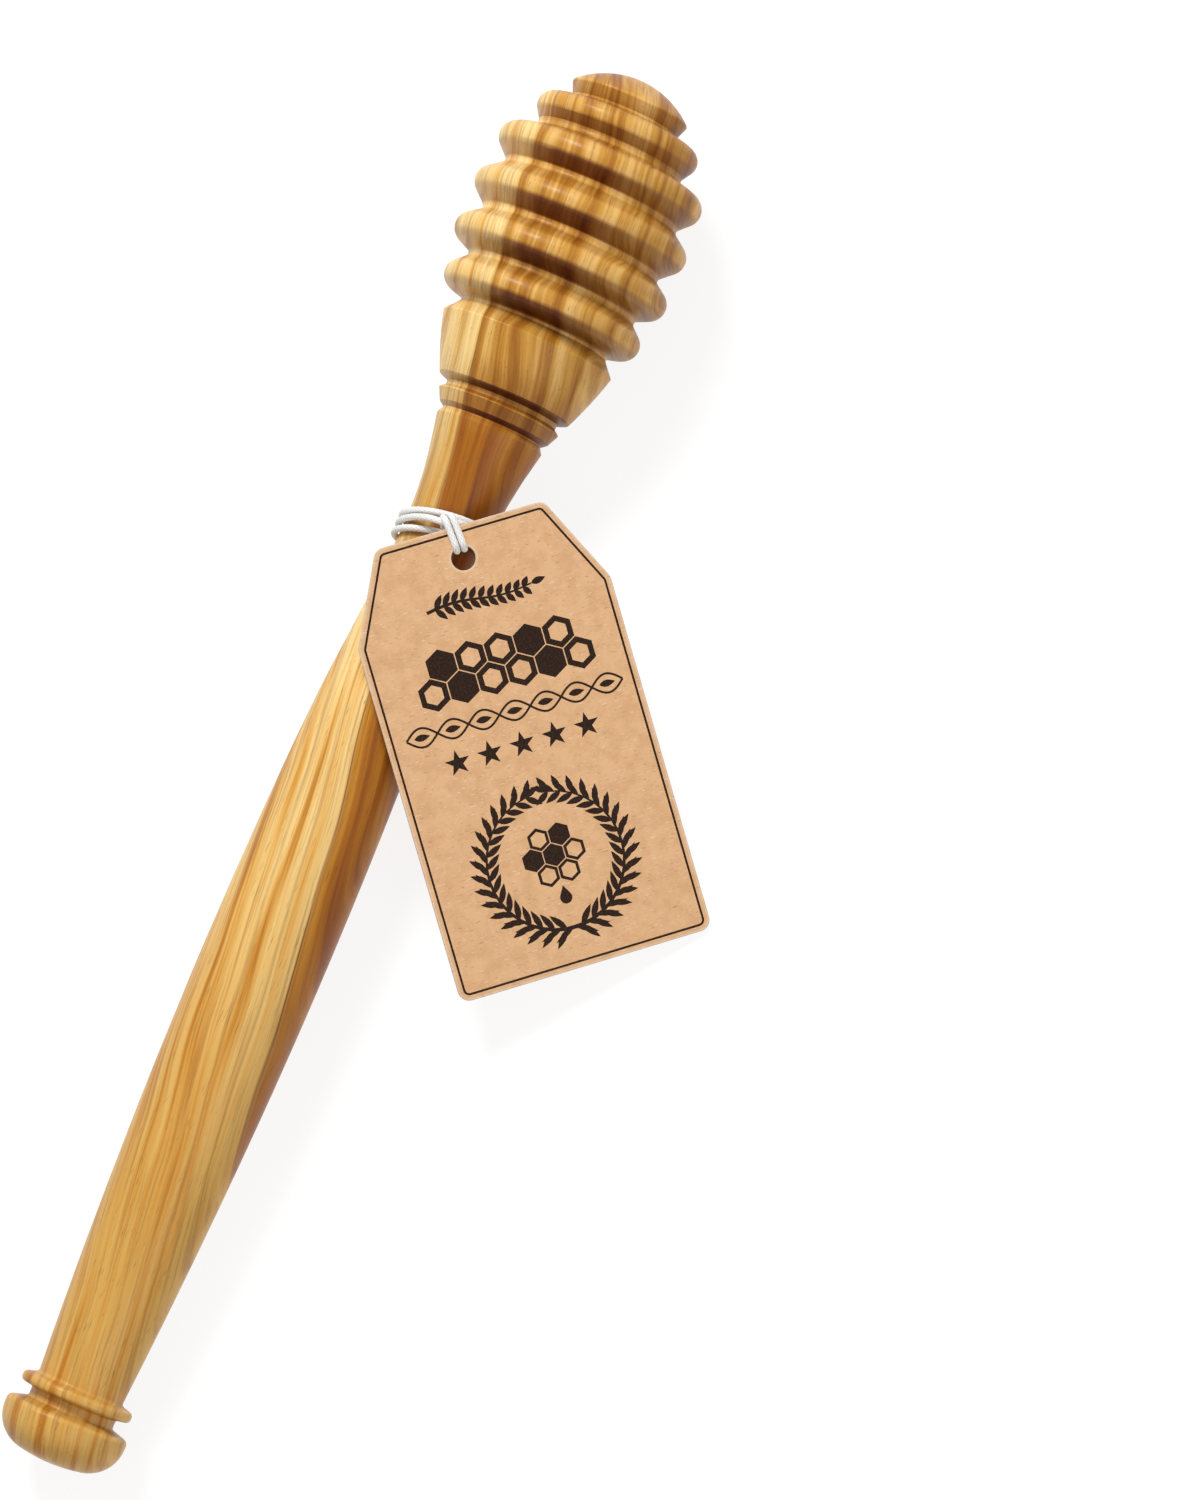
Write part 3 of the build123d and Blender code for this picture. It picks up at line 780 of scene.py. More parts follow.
@dataclass
class NeckWinding:
    """The elastic wound round the dipper's waist, from the knot and back to it."""

    cord: BraidedCord = field(default_factory=BraidedCord)
    turn_radius: float = 5.80
    turn_pitch: float = 1.05
    turn_slant: float = 2.8
    highest_side: float = 50.0
    turns_before: float = 1.5
    turns_after: float = 1.30
    return_climb: float = 0.15
    return_rise: float = 1.20
    eye_station: float = 121.07
    eye_angle: float = 15.05
    eye_lift: float = 1.78
    eye_width: float = 0.18
    eye_spread: float = 1.15
    # Where the cord passes under the tag's strands: turns from the crossing, and how far it sinks.
    under_at: float = 1.0
    under_width: float = 0.15
    under_strands: float = 0.20
    points_per_turn: int = 16
    # Where the tag's strands go round the cord: across, along and out of the card.
    crossing: tuple[Point3, ...] = (
        (-2.75, 1.17, -2.45),
        (-2.05, 0.85, -1.35),
        (-1.35, 0.42, -0.72),
        (-0.65, -0.08, -0.38),
        (0.05, -0.48, -0.28),
        (0.70, -0.62, -0.31),
        (1.25, -0.78, -0.50),
        (1.75, -1.05, -0.86),
        (2.25, -1.45, -1.25),
        (2.75, -2.05, -1.75),
        (3.25, -2.80, -2.30),
    )
    # Guides of the two ends behind the neck: station, radius and angle.
    first_guides: tuple[Point3, ...] = (
        (122.1, 6.90, 163.5),
        (121.15, 6.50, 170.0),
        (120.7, 6.05, 181.0),
    )
    second_guides: tuple[Point3, ...] = (
        (118.95, 7.10, 131.0),
        (119.6, 7.12, 141.0),
        (120.8, 7.10, 147.5),
        (122.3, 7.10, 149.5),
    )
    # Guides of their straight runs: distance past the knot's mouth.
    first_run: tuple[float, ...] = (0.6, 0.0, -1.4, -2.8, -4.2)
    second_run: tuple[float, ...] = (-3.4, -2.3, -1.2, 0.0, 0.6)

    def turn_place(self, turns: float) -> Vector:
        """Point of the winding.

        Args:
            turns: Turns from the crossing that the tag hangs on.

        Returns:
            The point in the dipper's frame, set out so that the spline lies on the turn's radius.
        """
        angle = self.eye_angle + 360 * turns
        lift = swell(turns, self.eye_width) ** 2
        highest = math.radians(self.highest_side)
        at_eye = math.cos(math.radians(self.eye_angle) - highest)
        slant = math.cos(math.radians(angle) - highest) - at_eye
        rising = max(0.0, turns - self.turns_after + self.return_climb) / self.return_climb
        climb = (1 - math.cos(math.pi * rising)) / 2
        spread = (self.eye_spread - self.turn_pitch) * (1 - lift)
        station = self.eye_station - self.turn_pitch * turns + self.turn_slant / 2 * slant
        station -= math.copysign(spread, turns)
        radius = self.turn_radius + self.eye_lift * lift + self.return_rise * climb
        radius -= self.under_strands * swell(turns - self.under_at, self.under_width)
        return DIPPER_FRAME.on_neck(station, radius / math.cos(math.pi / self.points_per_turn), angle)

    def route(self, knot: "ElasticKnot") -> list[Vector]:
        """Control points of the cord's line.

        Args:
            knot: The knot that both ends go into.

        Returns:
            The points in the world, in metres.
        """
        first, second, way = knot.mouths()
        first_index = round(-self.turns_before * self.points_per_turn)
        last_index = round(self.turns_after * self.points_per_turn)
        start = [first + way * reach for reach in self.first_run]
        start += [DIPPER_FRAME.on_neck(*guide) for guide in self.first_guides]
        start += [self.turn_place(index / self.points_per_turn) for index in range(first_index, -1)]
        end = [self.turn_place(index / self.points_per_turn) for index in range(2, last_index + 1)]
        end += [DIPPER_FRAME.on_neck(*guide) for guide in self.second_guides]
        end += [second + way * reach for reach in self.second_run]
        points = [DIPPER_FRAME.placed(point) for point in start]
        points += [CARD_FRAME.placed(Vector(point)) for point in self.crossing]
        return points + [DIPPER_FRAME.placed(point) for point in end]

    def build(self, knot: "ElasticKnot", finish: bpy.types.Material) -> bpy.types.Object:
        """Build and dress the winding.

        Args:
            knot: The knot that both ends go into.
            finish: The cord's material.

        Returns:
            The winding's mesh object.
        """
        line = smooth_line("neck_winding_route", self.route(knot))
        piece = self.cord.tube("neck_winding", line)
        piece.data.materials.append(finish)
        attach(piece, Body.ELASTIC.value)
        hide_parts("neck_wraps")
        return piece


@dataclass
class ElasticKnot:
    """The knot behind the neck that joins the winding's two ends, with its cut tails."""

    cord: BraidedCord = field(default_factory=lambda: BraidedCord(diameter=0.72, step=0.08))
    station: float = 128.434
    radius: float = 7.05
    angle: float = 155.5
    length: float = 1.9
    width: float = 2.6
    thickness: float = 1.7
    strand_spacing: float = 0.70
    wraps: float = 2.5
    points_per_wrap: int = 12
    tail_length: float = 1.2
    tail_splay: float = 16.0
    # A tail starts inside the knot, near its mouth, and bends once before it comes out straight.
    tail_root_inset: float = 0.1
    tail_root_spacing: float = 0.3
    tail_bend_inset: float = 0.2
    tail_bend_share: float = 0.8

    def axes(self) -> tuple[Vector, Vector, Vector, Vector]:
        """Place and directions of the knot.

        Returns:
            Its middle, and its directions along, across and outwards, in the dipper's frame.
        """
        bend = math.radians(self.angle)
        middle = DIPPER_FRAME.on_neck(self.station, self.radius, self.angle)
        outwards = Vector((0.0, -math.sin(bend), math.cos(bend)))
        along = Vector((1.0, 0.0, 0.0))
        return middle, along, outwards.cross(along), outwards

    def mouths(self) -> tuple[Vector, Vector, Vector]:
        """Where the winding's two ends go in.

        Returns:
            The two places, and the direction in which both go in, in the dipper's frame.
        """
        middle, along, across, _ = self.axes()
        mouth = middle - along * (self.length / 2)
        return mouth - across * self.strand_spacing, mouth + across * self.strand_spacing, along

    def wrapped(self) -> list[Vector]:
        """Route of the cord that is wrapped round both ends.

        Returns:
            Control points in the world, in metres.
        """
        middle, along, across, outwards = self.axes()
        reach = self.cord.diameter / 2
        points = []
        steps = round(self.wraps * self.points_per_wrap)
        for index in range(steps + 1):
            turn = 2 * math.pi * index / self.points_per_wrap
            shift = along * ((index / steps - 0.5) * (self.length - 2 * reach))
            sideways = across * ((self.width / 2 - reach) * math.cos(turn))
            out = outwards * ((self.thickness / 2 - reach) * math.sin(turn))
            points.append(DIPPER_FRAME.placed(middle + shift + sideways + out))
        return points

    def tail(self, side: int) -> list[Vector]:
        """Route of one cut end.

        Args:
            side: -1 or 1, the side of the knot on which it comes out.

        Returns:
            Control points in the world, in metres.
        """
        middle, along, across, _ = self.axes()
        splay = math.radians(self.tail_splay) * side
        way = along * math.cos(splay) + across * math.sin(splay)
        start = middle + across * (side * self.strand_spacing * self.tail_bend_share)
        reach = self.length / 2 + self.tail_length
        root = middle - along * (self.length / 2 - self.tail_root_inset)
        points = (
            root + across * (side * self.tail_root_spacing),
            start - along * self.tail_bend_inset,
            start + way * reach * 0.5,
            start + way * reach,
        )
        return [DIPPER_FRAME.placed(point) for point in points]

    def build(self, finish: bpy.types.Material) -> bpy.types.Object:
        """Build and dress the knot.

        Args:
            finish: The cord's material.

        Returns:
            The knot's mesh object.
        """
        strands = [smooth_line("knot_wraps_route", self.wrapped())]
        strands += [smooth_line("knot_tail_route", self.tail(side)) for side in (-1, 1)]
        parts = [self.cord.tube(f"knot_part_{index}", strand) for index, strand in enumerate(strands)]
        piece = joined("elastic_end_knot", parts)
        piece.data.materials.append(finish)
        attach(piece, Body.ELASTIC.value)
        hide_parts("elastic_knot")
        return piece


@dataclass
class TagLoop:
    """The two strands that hold the tag: one cord, twice through the hole and round the winding."""

    cord: BraidedCord = field(default_factory=BraidedCord)
    turns: int = 2
    pitch: float = 0.93
    radius: float = 0.95
    top: float = -0.62
    foot: float = -2.98
    depth: float = -0.29
    start: float = 1.25
    arc_points: int = 6
    run_points: int = 4

    def one_turn(self) -> list[Point3]:
        """Control points of one turn, from the middle of the back and round to it.

        Returns:
            For each, its distance along the cord, and its place along the card and out of it.
        """
        reach = self.top - self.foot
        half_arc = math.pi * self.radius
        outset = self.radius / math.cos(math.pi / 2 / self.arc_points)
        bends = [math.pi * (index + 0.5) / self.arc_points for index in range(self.arc_points)]
        runs = [reach * (index + 0.5) / self.run_points for index in range(self.run_points)]
        half = self.run_points // 2
        points = [(run - reach / 2, self.top - run, -self.radius) for run in runs[half:]]
        for bend in bends:
            far = reach / 2 + self.radius * bend
            points.append((far, self.foot - outset * math.sin(bend), -outset * math.cos(bend)))
        for run in runs:
            points.append((reach / 2 + half_arc + run, self.foot + run, self.radius))
        for bend in bends:
            far = 1.5 * reach + half_arc + self.radius * bend
            points.append((far, self.top + outset * math.sin(bend), outset * math.cos(bend)))
        for run in runs[:half]:
            points.append((1.5 * reach + 2 * half_arc + run, self.top - run, -self.radius))
        return points

    def route(self) -> list[Vector]:
        """Control points of the cord's line.

        Returns:
            The points in the world, in metres.
        """
        length = 2 * (self.top - self.foot) + 2 * math.pi * self.radius
        middle, back = (self.top + self.foot) / 2, self.depth - self.radius
        points = [Vector((self.start, middle, back))]
        for turn in range(self.turns):
            for far, along, out in self.one_turn():
                across = self.start - self.pitch * (turn + far / length)
                points.append(Vector((across, along, self.depth + out)))
        points.append(Vector((self.start - self.pitch * self.turns, middle, back)))
        return [CARD_FRAME.placed(point) for point in points]

    def build(self, finish: bpy.types.Material) -> bpy.types.Object:
        """Build and dress the loop.

        Args:
            finish: The cord's material.

        Returns:
            The loop's mesh object.
        """
        line = smooth_line("tag_strands_route", self.route())
        piece = self.cord.tube("tag_strands_loop", line)
        piece.data.materials.append(finish)
        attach(piece, Body.STRANDS.value)
        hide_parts("tag_loop")
        return piece


# ---------------------------------------------------------------- shapes of the print

LEAF_STATIONS = (0.12, 0.3, 0.5, 0.7, 0.88)  # shares of its length at which its edge is drawn
LEAF_FULLNESS = 0.85  # below 1, its widest place lies nearer its base


@dataclass
class Mark:
    """A printed shape: closed outlines, filled between the odd and the even ones."""

    outlines: list[list[Point2]]

    def __post_init__(self) -> None:
        """Note the shape's box, so that far points are told apart quickly."""
        points = [point for outline in self.outlines for point in outline]
        self.low = (min(point[0] for point in points), min(point[1] for point in points))
        self.high = (max(point[0] for point in points), max(point[1] for point in points))

    def holds(self, point: Point2) -> bool:
        """Whether a point of the card is inked by this shape.

        Args:
            point: The point.

        Returns:
            True if it lies inside an odd number of the outlines.
        """
        x, y = point
        if not (self.low[0] <= x <= self.high[0] and self.low[1] <= y <= self.high[1]):
            return False
        inside = False
        for outline in self.outlines:
            for (x0, y0), (x1, y1) in zip(outline, outline[1:] + outline[:1]):
                if (y0 > y) != (y1 > y) and x < (x1 - x0) * (y - y0) / (y1 - y0) + x0:
                    inside = not inside
        return inside


def polygon(centre: Point2, radius: float, sides: int, first: float = 90.0) -> list[Point2]:
    """Corners of a regular polygon, the first at an angle in degrees."""
    turns = [math.radians(first) + 2 * math.pi * index / sides for index in range(sides)]
    return [(centre[0] + radius * math.cos(turn), centre[1] + radius * math.sin(turn)) for turn in turns]


def stroke(path: Sequence[Point2], start_width: float, end_width: float) -> Mark:
    """A printed line along a path.

    Args:
        path: The points it follows.
        start_width: Its width at the first point.
        end_width: Its width at the last point.

    Returns:
        The line as a closed shape.
    """
    left, right = [], []
    for index, place in enumerate(path):
        ahead = Vector(path[min(index + 1, len(path) - 1)]) - Vector(path[max(index - 1, 0)])
        width = start_width + (end_width - start_width) * index / (len(path) - 1)
        side = Vector((-ahead.y, ahead.x)).normalized() * (width / 2)
        left.append(tuple(Vector(place) + side))
        right.append(tuple(Vector(place) - side))
    return Mark([left + right[::-1]])


def leaf(base: Point2, heading: float, length: float, width: float) -> Mark:
    """A printed leaf, widest a little before its middle.

    Args:
        base: Where it starts.
        heading: Its direction in radians.
        length: Its length.
        width: Its greatest width.

    Returns:
        The leaf as a closed shape.
    """
    along = Vector((math.cos(heading), math.sin(heading)))
    across = Vector((-along.y, along.x))
    upper, lower = [], []
    for share in LEAF_STATIONS:
        half = across * (width / 2 * math.sin(math.pi * share**LEAF_FULLNESS))
        upper.append(tuple(Vector(base) + along * (length * share) + half))
        lower.append(tuple(Vector(base) + along * (length * share) - half))
    return Mark([[base] + lower + [tuple(Vector(base) + along * length)] + upper[::-1]])


def comb_cell(centre: Point2, radius: float, wall: float) -> Mark:
    """One cell of a honeycomb.

    Args:
        centre: Its middle.
        radius: From there to its corners.
        wall: Width of its wall. A wall as wide as the radius fills the cell.

    Returns:
        The cell as a closed shape.
    """
    outlines = [polygon(centre, radius, 6)]
    if wall < radius:
        outlines.append(polygon(centre, radius - wall, 6))
    return Mark(outlines)


def rounded_outline(
    corners: Sequence[Point2], radius: float, steps: int = 8, inset: float = 0.0
) -> list[Point2]:
    """Outline of a polygon with rounded corners.

    Args:
        corners: The corners, counter-clockwise.
        radius: Radius of the corners before the inset.
        steps: Number of steps in each corner's arc.
        inset: How far the outline lies inside the corners' own.

    Returns:
        The outline's points.
    """
    outline = []
    for index, corner in enumerate(corners):
        here = Vector(corner)
        before, after = Vector(corners[index - 1]), Vector(corners[(index + 1) % len(corners)])
        arriving, leaving = (here - before).normalized(), (after - here).normalized()
        turn = math.atan2(arriving.x * leaving.y - arriving.y * leaving.x, arriving.dot(leaving))
        middle = here - arriving * (radius * math.tan(turn / 2))
        middle += Vector((-arriving.y, arriving.x)) * radius
        begin = math.atan2(-arriving.x, arriving.y)
        for step in range(steps + 1):
            angle = begin + turn * step / steps
            outwards = Vector((math.cos(angle), math.sin(angle)))
            outline.append(tuple(middle + outwards * (radius - inset)))
    return outline


# ---------------------------------------------------------------- parts of the print


@dataclass
class StarRow:
    """Five small stars in a row."""

    middle: Point2 = (1.11, -28.15)
    radius: float = 1.62
    inner_share: float = 0.40
    spacing: float = 4.03
    count: int = 5
    star_points: int = 5

    def marks(self) -> list[Mark]:
        """The stars, from left to right.

        Returns:
            One shape for each.
        """
        marks = []
        for index in range(self.count):
            centre = (self.middle[0] + (index - (self.count - 1) / 2) * self.spacing, self.middle[1])
            outer = polygon(centre, self.radius, self.star_points)
            between = 90.0 + 180.0 / self.star_points
            inner = polygon(centre, self.radius * self.inner_share, self.star_points, between)
            marks.append(Mark([[point for pair in zip(outer, inner) for point in pair]]))
        return marks


@dataclass
class Sprig:
    """The small leafy sprig under the hole."""

    middle: Point2 = (0.97, -10.05)
    length: float = 13.0
    wave: float = 0.35
    nodes: int = 12
    stem_widths: Point2 = (0.42, 0.20)
    leaf_length: float = 2.0
    leaf_width: float = 0.78
    leaf_shrink: float = 0.05
    leaf_spread: float = 52.0
    tip_length: float = 1.9
    tip_width: float = 0.85
    tip_heading: float = 0.15

    def marks(self) -> list[Mark]:
        """The stem, its tip and its pairs of leaves.

        Returns:
            One shape for each.
        """
        x, y = self.middle
        stem = [
            (
                x - self.length / 2 + self.length * index / self.nodes,
                y + self.wave * math.sin(index / self.nodes * math.pi * 2),
            )
            for index in range(self.nodes + 1)
        ]
        marks = [stroke(stem, *self.stem_widths)]
        marks.append(leaf(stem[-1], self.tip_heading, self.tip_length, self.tip_width))
        for index in range(1, self.nodes):
            for side in (-1, 1):
                heading = side * math.radians(self.leaf_spread)
                grown = self.leaf_length - self.leaf_shrink * index
                marks.append(leaf(stem[index], heading, grown, self.leaf_width))
        return marks


@dataclass
class CombRows:
    """The two rows of honeycomb cells, every third one full."""

    middle: Point2 = (1.70, -18.05)
    cell: float = 2.02
    wall: float = 0.78
    gap_across: float = 0.14
    gap_along: float = 0.12
    upper_count: int = 5
    lower_count: int = 6

    def marks(self) -> list[Mark]:
        """The cells, row by row.

        Returns:
            One shape for each.
        """
        spacing = self.cell * math.sqrt(3) + self.gap_across
        marks = []
        for row, count in ((0.5, self.upper_count), (-0.5, self.lower_count)):
            y = self.middle[1] + row * (self.cell * 1.5 + self.gap_along)
            for index in range(count):
                centre = (self.middle[0] + (index - (count - 1) / 2) * spacing, y)
                full = (index + (row > 0)) % 3 == 1
                marks.append(comb_cell(centre, self.cell, self.cell if full else self.wall))
        return marks


@dataclass
class Plait:
    """The thin plait of two waving lines with a seed in each eye."""

    middle: Point2 = (1.36, -24.05)
    length: float = 27.0
    height: float = 1.15
    waves: float = 3.5
    steps: int = 112
    line_width: float = 0.27
    seed_length: float = 2.0
    seed_width: float = 0.85

    def marks(self) -> list[Mark]:
        """The two lines and the seeds.

        Returns:
            One shape for each.
        """
        x, y = self.middle
        marks = []
        for side in (-1, 1):
            path = []
            for index in range(self.steps + 1):
                share = index / self.steps
                wave = side * self.height * math.sin(2 * math.pi * self.waves * share)
                path.append((x + (share - 0.5) * self.length, y + wave))
            marks.append(stroke(path, self.line_width, self.line_width))
        for index in range(round(2 * self.waves)):
            eye = x + ((index + 0.5) / (2 * self.waves) - 0.5) * self.length
            marks.append(leaf((eye - self.seed_length / 2, y), 0.0, self.seed_length, self.seed_width))
        return marks


@dataclass
class Wreath:
    """The wreath of two leafy twigs round a small comb, from which a drop of honey hangs."""

    middle: Point2 = (1.03, -42.6)
    radius: float = 8.3
    nodes: int = 17
    first_angle: float = -94.0
    sweep: float = 174.0
    twig_widths: Point2 = (0.50, 0.18)
    leaf_length: float = 2.75
    leaf_shrink: float = 0.5
    leaf_width: float = 0.80
    leaf_spread: float = 50.0
    middle_leaf_share: float = 1.05
    middle_leaf_width: float = 0.62
    middle_leaf_spread: float = 28.0
    end_leaf_length: float = 2.2
    end_leaf_width: float = 0.75
    end_leaf_lean: float = 62.0
    cell: float = 1.42
    wall: float = 0.42
    cell_gap: float = 0.12
    full_cells: tuple[int, ...] = (1, 3, 6)
    comb_rise: float = 0.7
    drop_tip: float = 3.1
    drop_centre: float = 4.6
    drop_radius: float = 0.75

    def twig(self, side: int) -> list[Mark]:
        """One twig with its leaves.

        Args:
            side: -1 for the left one, 1 for the right one.

        Returns:
            One shape for the twig and one for each leaf.
        """
        x, y = self.middle
        path = []
        for index in range(self.nodes + 1):
            angle = math.radians(self.first_angle + self.sweep * index / self.nodes)
            place = (x + side * self.radius * math.cos(angle), y + self.radius * math.sin(angle))
            path.append(place)
        marks = [stroke(path, *self.twig_widths)]
        spread = math.radians(self.leaf_spread)
        for index in range(1, self.nodes + 1):
            here, before = Vector(path[index]), Vector(path[index - 1])
            heading = math.atan2((here - before).y, (here - before).x)
            grown = self.leaf_length - self.leaf_shrink * index / self.nodes
            marks.append(leaf(path[index], heading + spread, grown, self.leaf_width))
            marks.append(leaf(path[index], heading - spread, grown, self.leaf_width))
            inwards = heading - side * math.radians(self.middle_leaf_spread)
            between = tuple((here + before) / 2)
            grown *= self.middle_leaf_share
            marks.append(leaf(between, inwards, grown, self.middle_leaf_width))
        end = math.radians(90 + side * self.end_leaf_lean)
        marks.append(leaf(path[-1], end, self.end_leaf_length, self.end_leaf_width))
        return marks

    def comb(self) -> list[Mark]:
        """The comb in the wreath: six cells round a seventh.

        Returns:
            One shape for each cell.
        """
        x, y = self.middle
        marks = []
        for index in range(7):
            turn = math.radians(60 * index)
            away = 0.0 if index == 6 else self.cell * math.sqrt(3) + self.cell_gap
            centre = (x + away * math.cos(turn), y + self.comb_rise + away * math.sin(turn))
            wall = self.cell if index in self.full_cells else self.wall
            marks.append(comb_cell(centre, self.cell, wall))
        return marks

    def drop(self) -> Mark:
        """The drop of honey under the comb.

        Returns:
            The drop as a closed shape.
        """
        x, y = self.middle
        outline = [(x, y - self.drop_tip)]
        for degrees in range(150, 391, 20):
            angle = math.radians(degrees)
            below = y - self.drop_centre + self.drop_radius * math.sin(angle)
            outline.append((x + self.drop_radius * math.cos(angle), below))
        return Mark([outline])

    def marks(self) -> list[Mark]:
        """All the wreath's shapes."""
        return self.twig(-1) + self.twig(1) + self.comb() + [self.drop()]


@dataclass
class CardPrint:
    """The card's print but its border line."""

    stars: StarRow = field(default_factory=StarRow)
    sprig: Sprig = field(default_factory=Sprig)
    comb: CombRows = field(default_factory=CombRows)
    plait: Plait = field(default_factory=Plait)
    wreath: Wreath = field(default_factory=Wreath)

    def marks(self) -> list[Mark]:
        """All the print's shapes."""
        parts = (self.stars, self.sprig, self.comb, self.plait, self.wreath)
        return [mark for part in parts for mark in part.marks()]


# ---------------------------------------------------------------- the card tag


@dataclass
class HangTag:
    """The card tag with its cut corners, its hole and its print."""

    left: float = -14.60
    right: float = 16.90
    top: float = -1.05
    foot: float = -55.75
    corner_across: float = 5.3
    corner_along: float = 10.9
    corner_round: float = 1.4
    thickness: float = 0.45
    hole: Point2 = (0.55, -4.95)
    hole_radius: float = 1.475
    hole_steps: int = 48
    edge_round: float = 0.07
    border_inset: float = 0.64
    border_width: float = 0.27
    crushed_width: float = 0.26
    printing: CardPrint = field(default_factory=CardPrint)

    def corners(self) -> list[Point2]:
        """The card's corners.

        Returns:
            The corners, counter-clockwise from the lower left one.
        """
        return [
            (self.left, self.foot),
            (self.right, self.foot),
            (self.right, self.top - self.corner_along),
            (self.right - self.corner_across, self.top),
            (self.left + self.corner_across, self.top),
            (self.left, self.top - self.corner_along),
        ]

    def outline(self, inset: float) -> list[Point2]:
        """The card's outline, some way inside its edge."""
        return rounded_outline(self.corners(), self.corner_round, inset=inset)

    def hole_outline(self, outset: float) -> list[Point2]:
        """The hole's outline, some way outside its edge."""
        return polygon(self.hole, self.hole_radius + outset, self.hole_steps, 0.0)

    def face(self, builder: bmesh.types.BMesh, height: float, marks: Sequence[Mark]) -> None:
        """Fill one face of the card.

        Args:
            builder: The mesh that gets the face.
            height: Its height above the card's middle.
            marks: The printed shapes on it.
        """
        edge, hole = self.outline(self.edge_round), self.hole_outline(self.edge_round)
        rim = Mark([self.outline(self.crushed_width), self.hole_outline(self.crushed_width)])
        points: list[Vector] = []
        edges: list[tuple[int, int]] = []
        for outline in [edge, hole] + [outline for mark in (rim, *marks) for outline in mark.outlines]:
            first, count = len(points), len(outline)
            points += [Vector(point) for point in outline]
            edges += [(first + index, first + (index + 1) % count) for index in range(count)]
        found, _, triangles, *_ = delaunay_2d_cdt(points, edges, [], 0, WELD)
        board = Mark([edge, hole])
        corners = [builder.verts.new((point.x, point.y, height)) for point in found]
        for triangle in triangles:
            centre = tuple(sum((found[index] for index in triangle), Vector((0.0, 0.0))) / 3)
            if not board.holds(centre):
                continue
            order = triangle if height > 0 else list(reversed(triangle))
            face = builder.faces.new([corners[index] for index in order])
            finish = CardFinish.BOARD if rim.holds(centre) else CardFinish.RIM
            if any(mark.holds(centre) for mark in marks):
                finish = CardFinish.INK
            face.material_index = finish.value

    def side(self, builder: bmesh.types.BMesh, rings: Sequence[tuple[list[Point2], float]]) -> None:
        """Close the card's edge between outlines at given heights.

        Args:
            builder: The mesh that gets the faces.
            rings: Outlines of equal length with their heights, from the front to the back.
        """
        rows = [[builder.verts.new((*point, height)) for point in outline] for outline, height in rings]
        for upper, lower in zip(rows, rows[1:]):
            for index in range(len(upper)):
                after = (index + 1) % len(upper)
                face = builder.faces.new((upper[index], lower[index], lower[after], upper[after]))
                face.material_index = CardFinish.RIM.value

    def build(
        self, board: bpy.types.Material, ink: bpy.types.Material, rim: bpy.types.Material
    ) -> bpy.types.Object:
        """Build and dress the tag.

        Args:
            board: Material of the board.
            ink: Material of the print.
            rim: Material of the crushed edge left by the die.

        Returns:
            The tag's mesh object.
        """
        half, ease = self.thickness / 2, self.edge_round
        builder = bmesh.new()
        border = [self.outline(self.border_inset), self.outline(self.border_inset + self.border_width)]
        self.face(builder, half, [Mark(border)] + self.printing.marks())
        self.face(builder, -half, [])
        for outline, step in ((self.outline, 1), (self.hole_outline, -1)):
            rings = [
                (outline(ease), half),
                (outline(0.0), half - ease),
                (outline(0.0), ease - half),
                (outline(ease), -half),
            ]
            self.side(builder, rings[::step])
        bmesh.ops.remove_doubles(builder, verts=builder.verts, dist=WELD)
        sheet = builder.loops.layers.uv.new("card")
        for face in builder.faces:
            for loop in face.loops:
                loop[sheet].uv = loop.vert.co.xy
        for vertex in builder.verts:
            vertex.co = CARD_FRAME.placed(vertex.co)
        piece = add_piece("card_hang_tag", builder)
        for finish in (board, ink, rim):
            piece.data.materials.append(finish)
        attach(piece, Body.TAG.value)
        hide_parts("hang_tag")
        return piece


# ---------------------------------------------------------------- the wooden dipper


@dataclass
class WoodenDipper:
    """The turned dipper, whose own solid is kept and gets its wood."""

    node: str = "wooden_dipper"

    def dress(self, finish: bpy.types.Material) -> bpy.types.Object:
        """Give the turned solid its wood.

        Args:
            finish: The wood's material.

        Returns:
            The dipper's object.
        """
        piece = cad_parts[self.node]
        if not piece.data.materials:
            piece.data.materials.append(finish)
        for slot in piece.material_slots:
            slot.material = finish
        return piece


# ---------------------------------------------------------------- studio


@dataclass(frozen=True)
class SoftLamp:
    """A soft square lamp aimed at the dipper: place and side in metres, power in watts."""

    name: str
    place: Point3
    size: float
    power: float

    def build(self) -> None:
        """Hang the lamp."""
        data = bpy.data.lights.new(self.name, "AREA")
        data.shape, data.size, data.energy = "SQUARE", self.size, self.power
        lamp = add_object(self.name, data)
        lamp.location = self.place
        lamp.rotation_euler = (-Vector(self.place)).to_track_quat("-Z", "Y").to_euler()


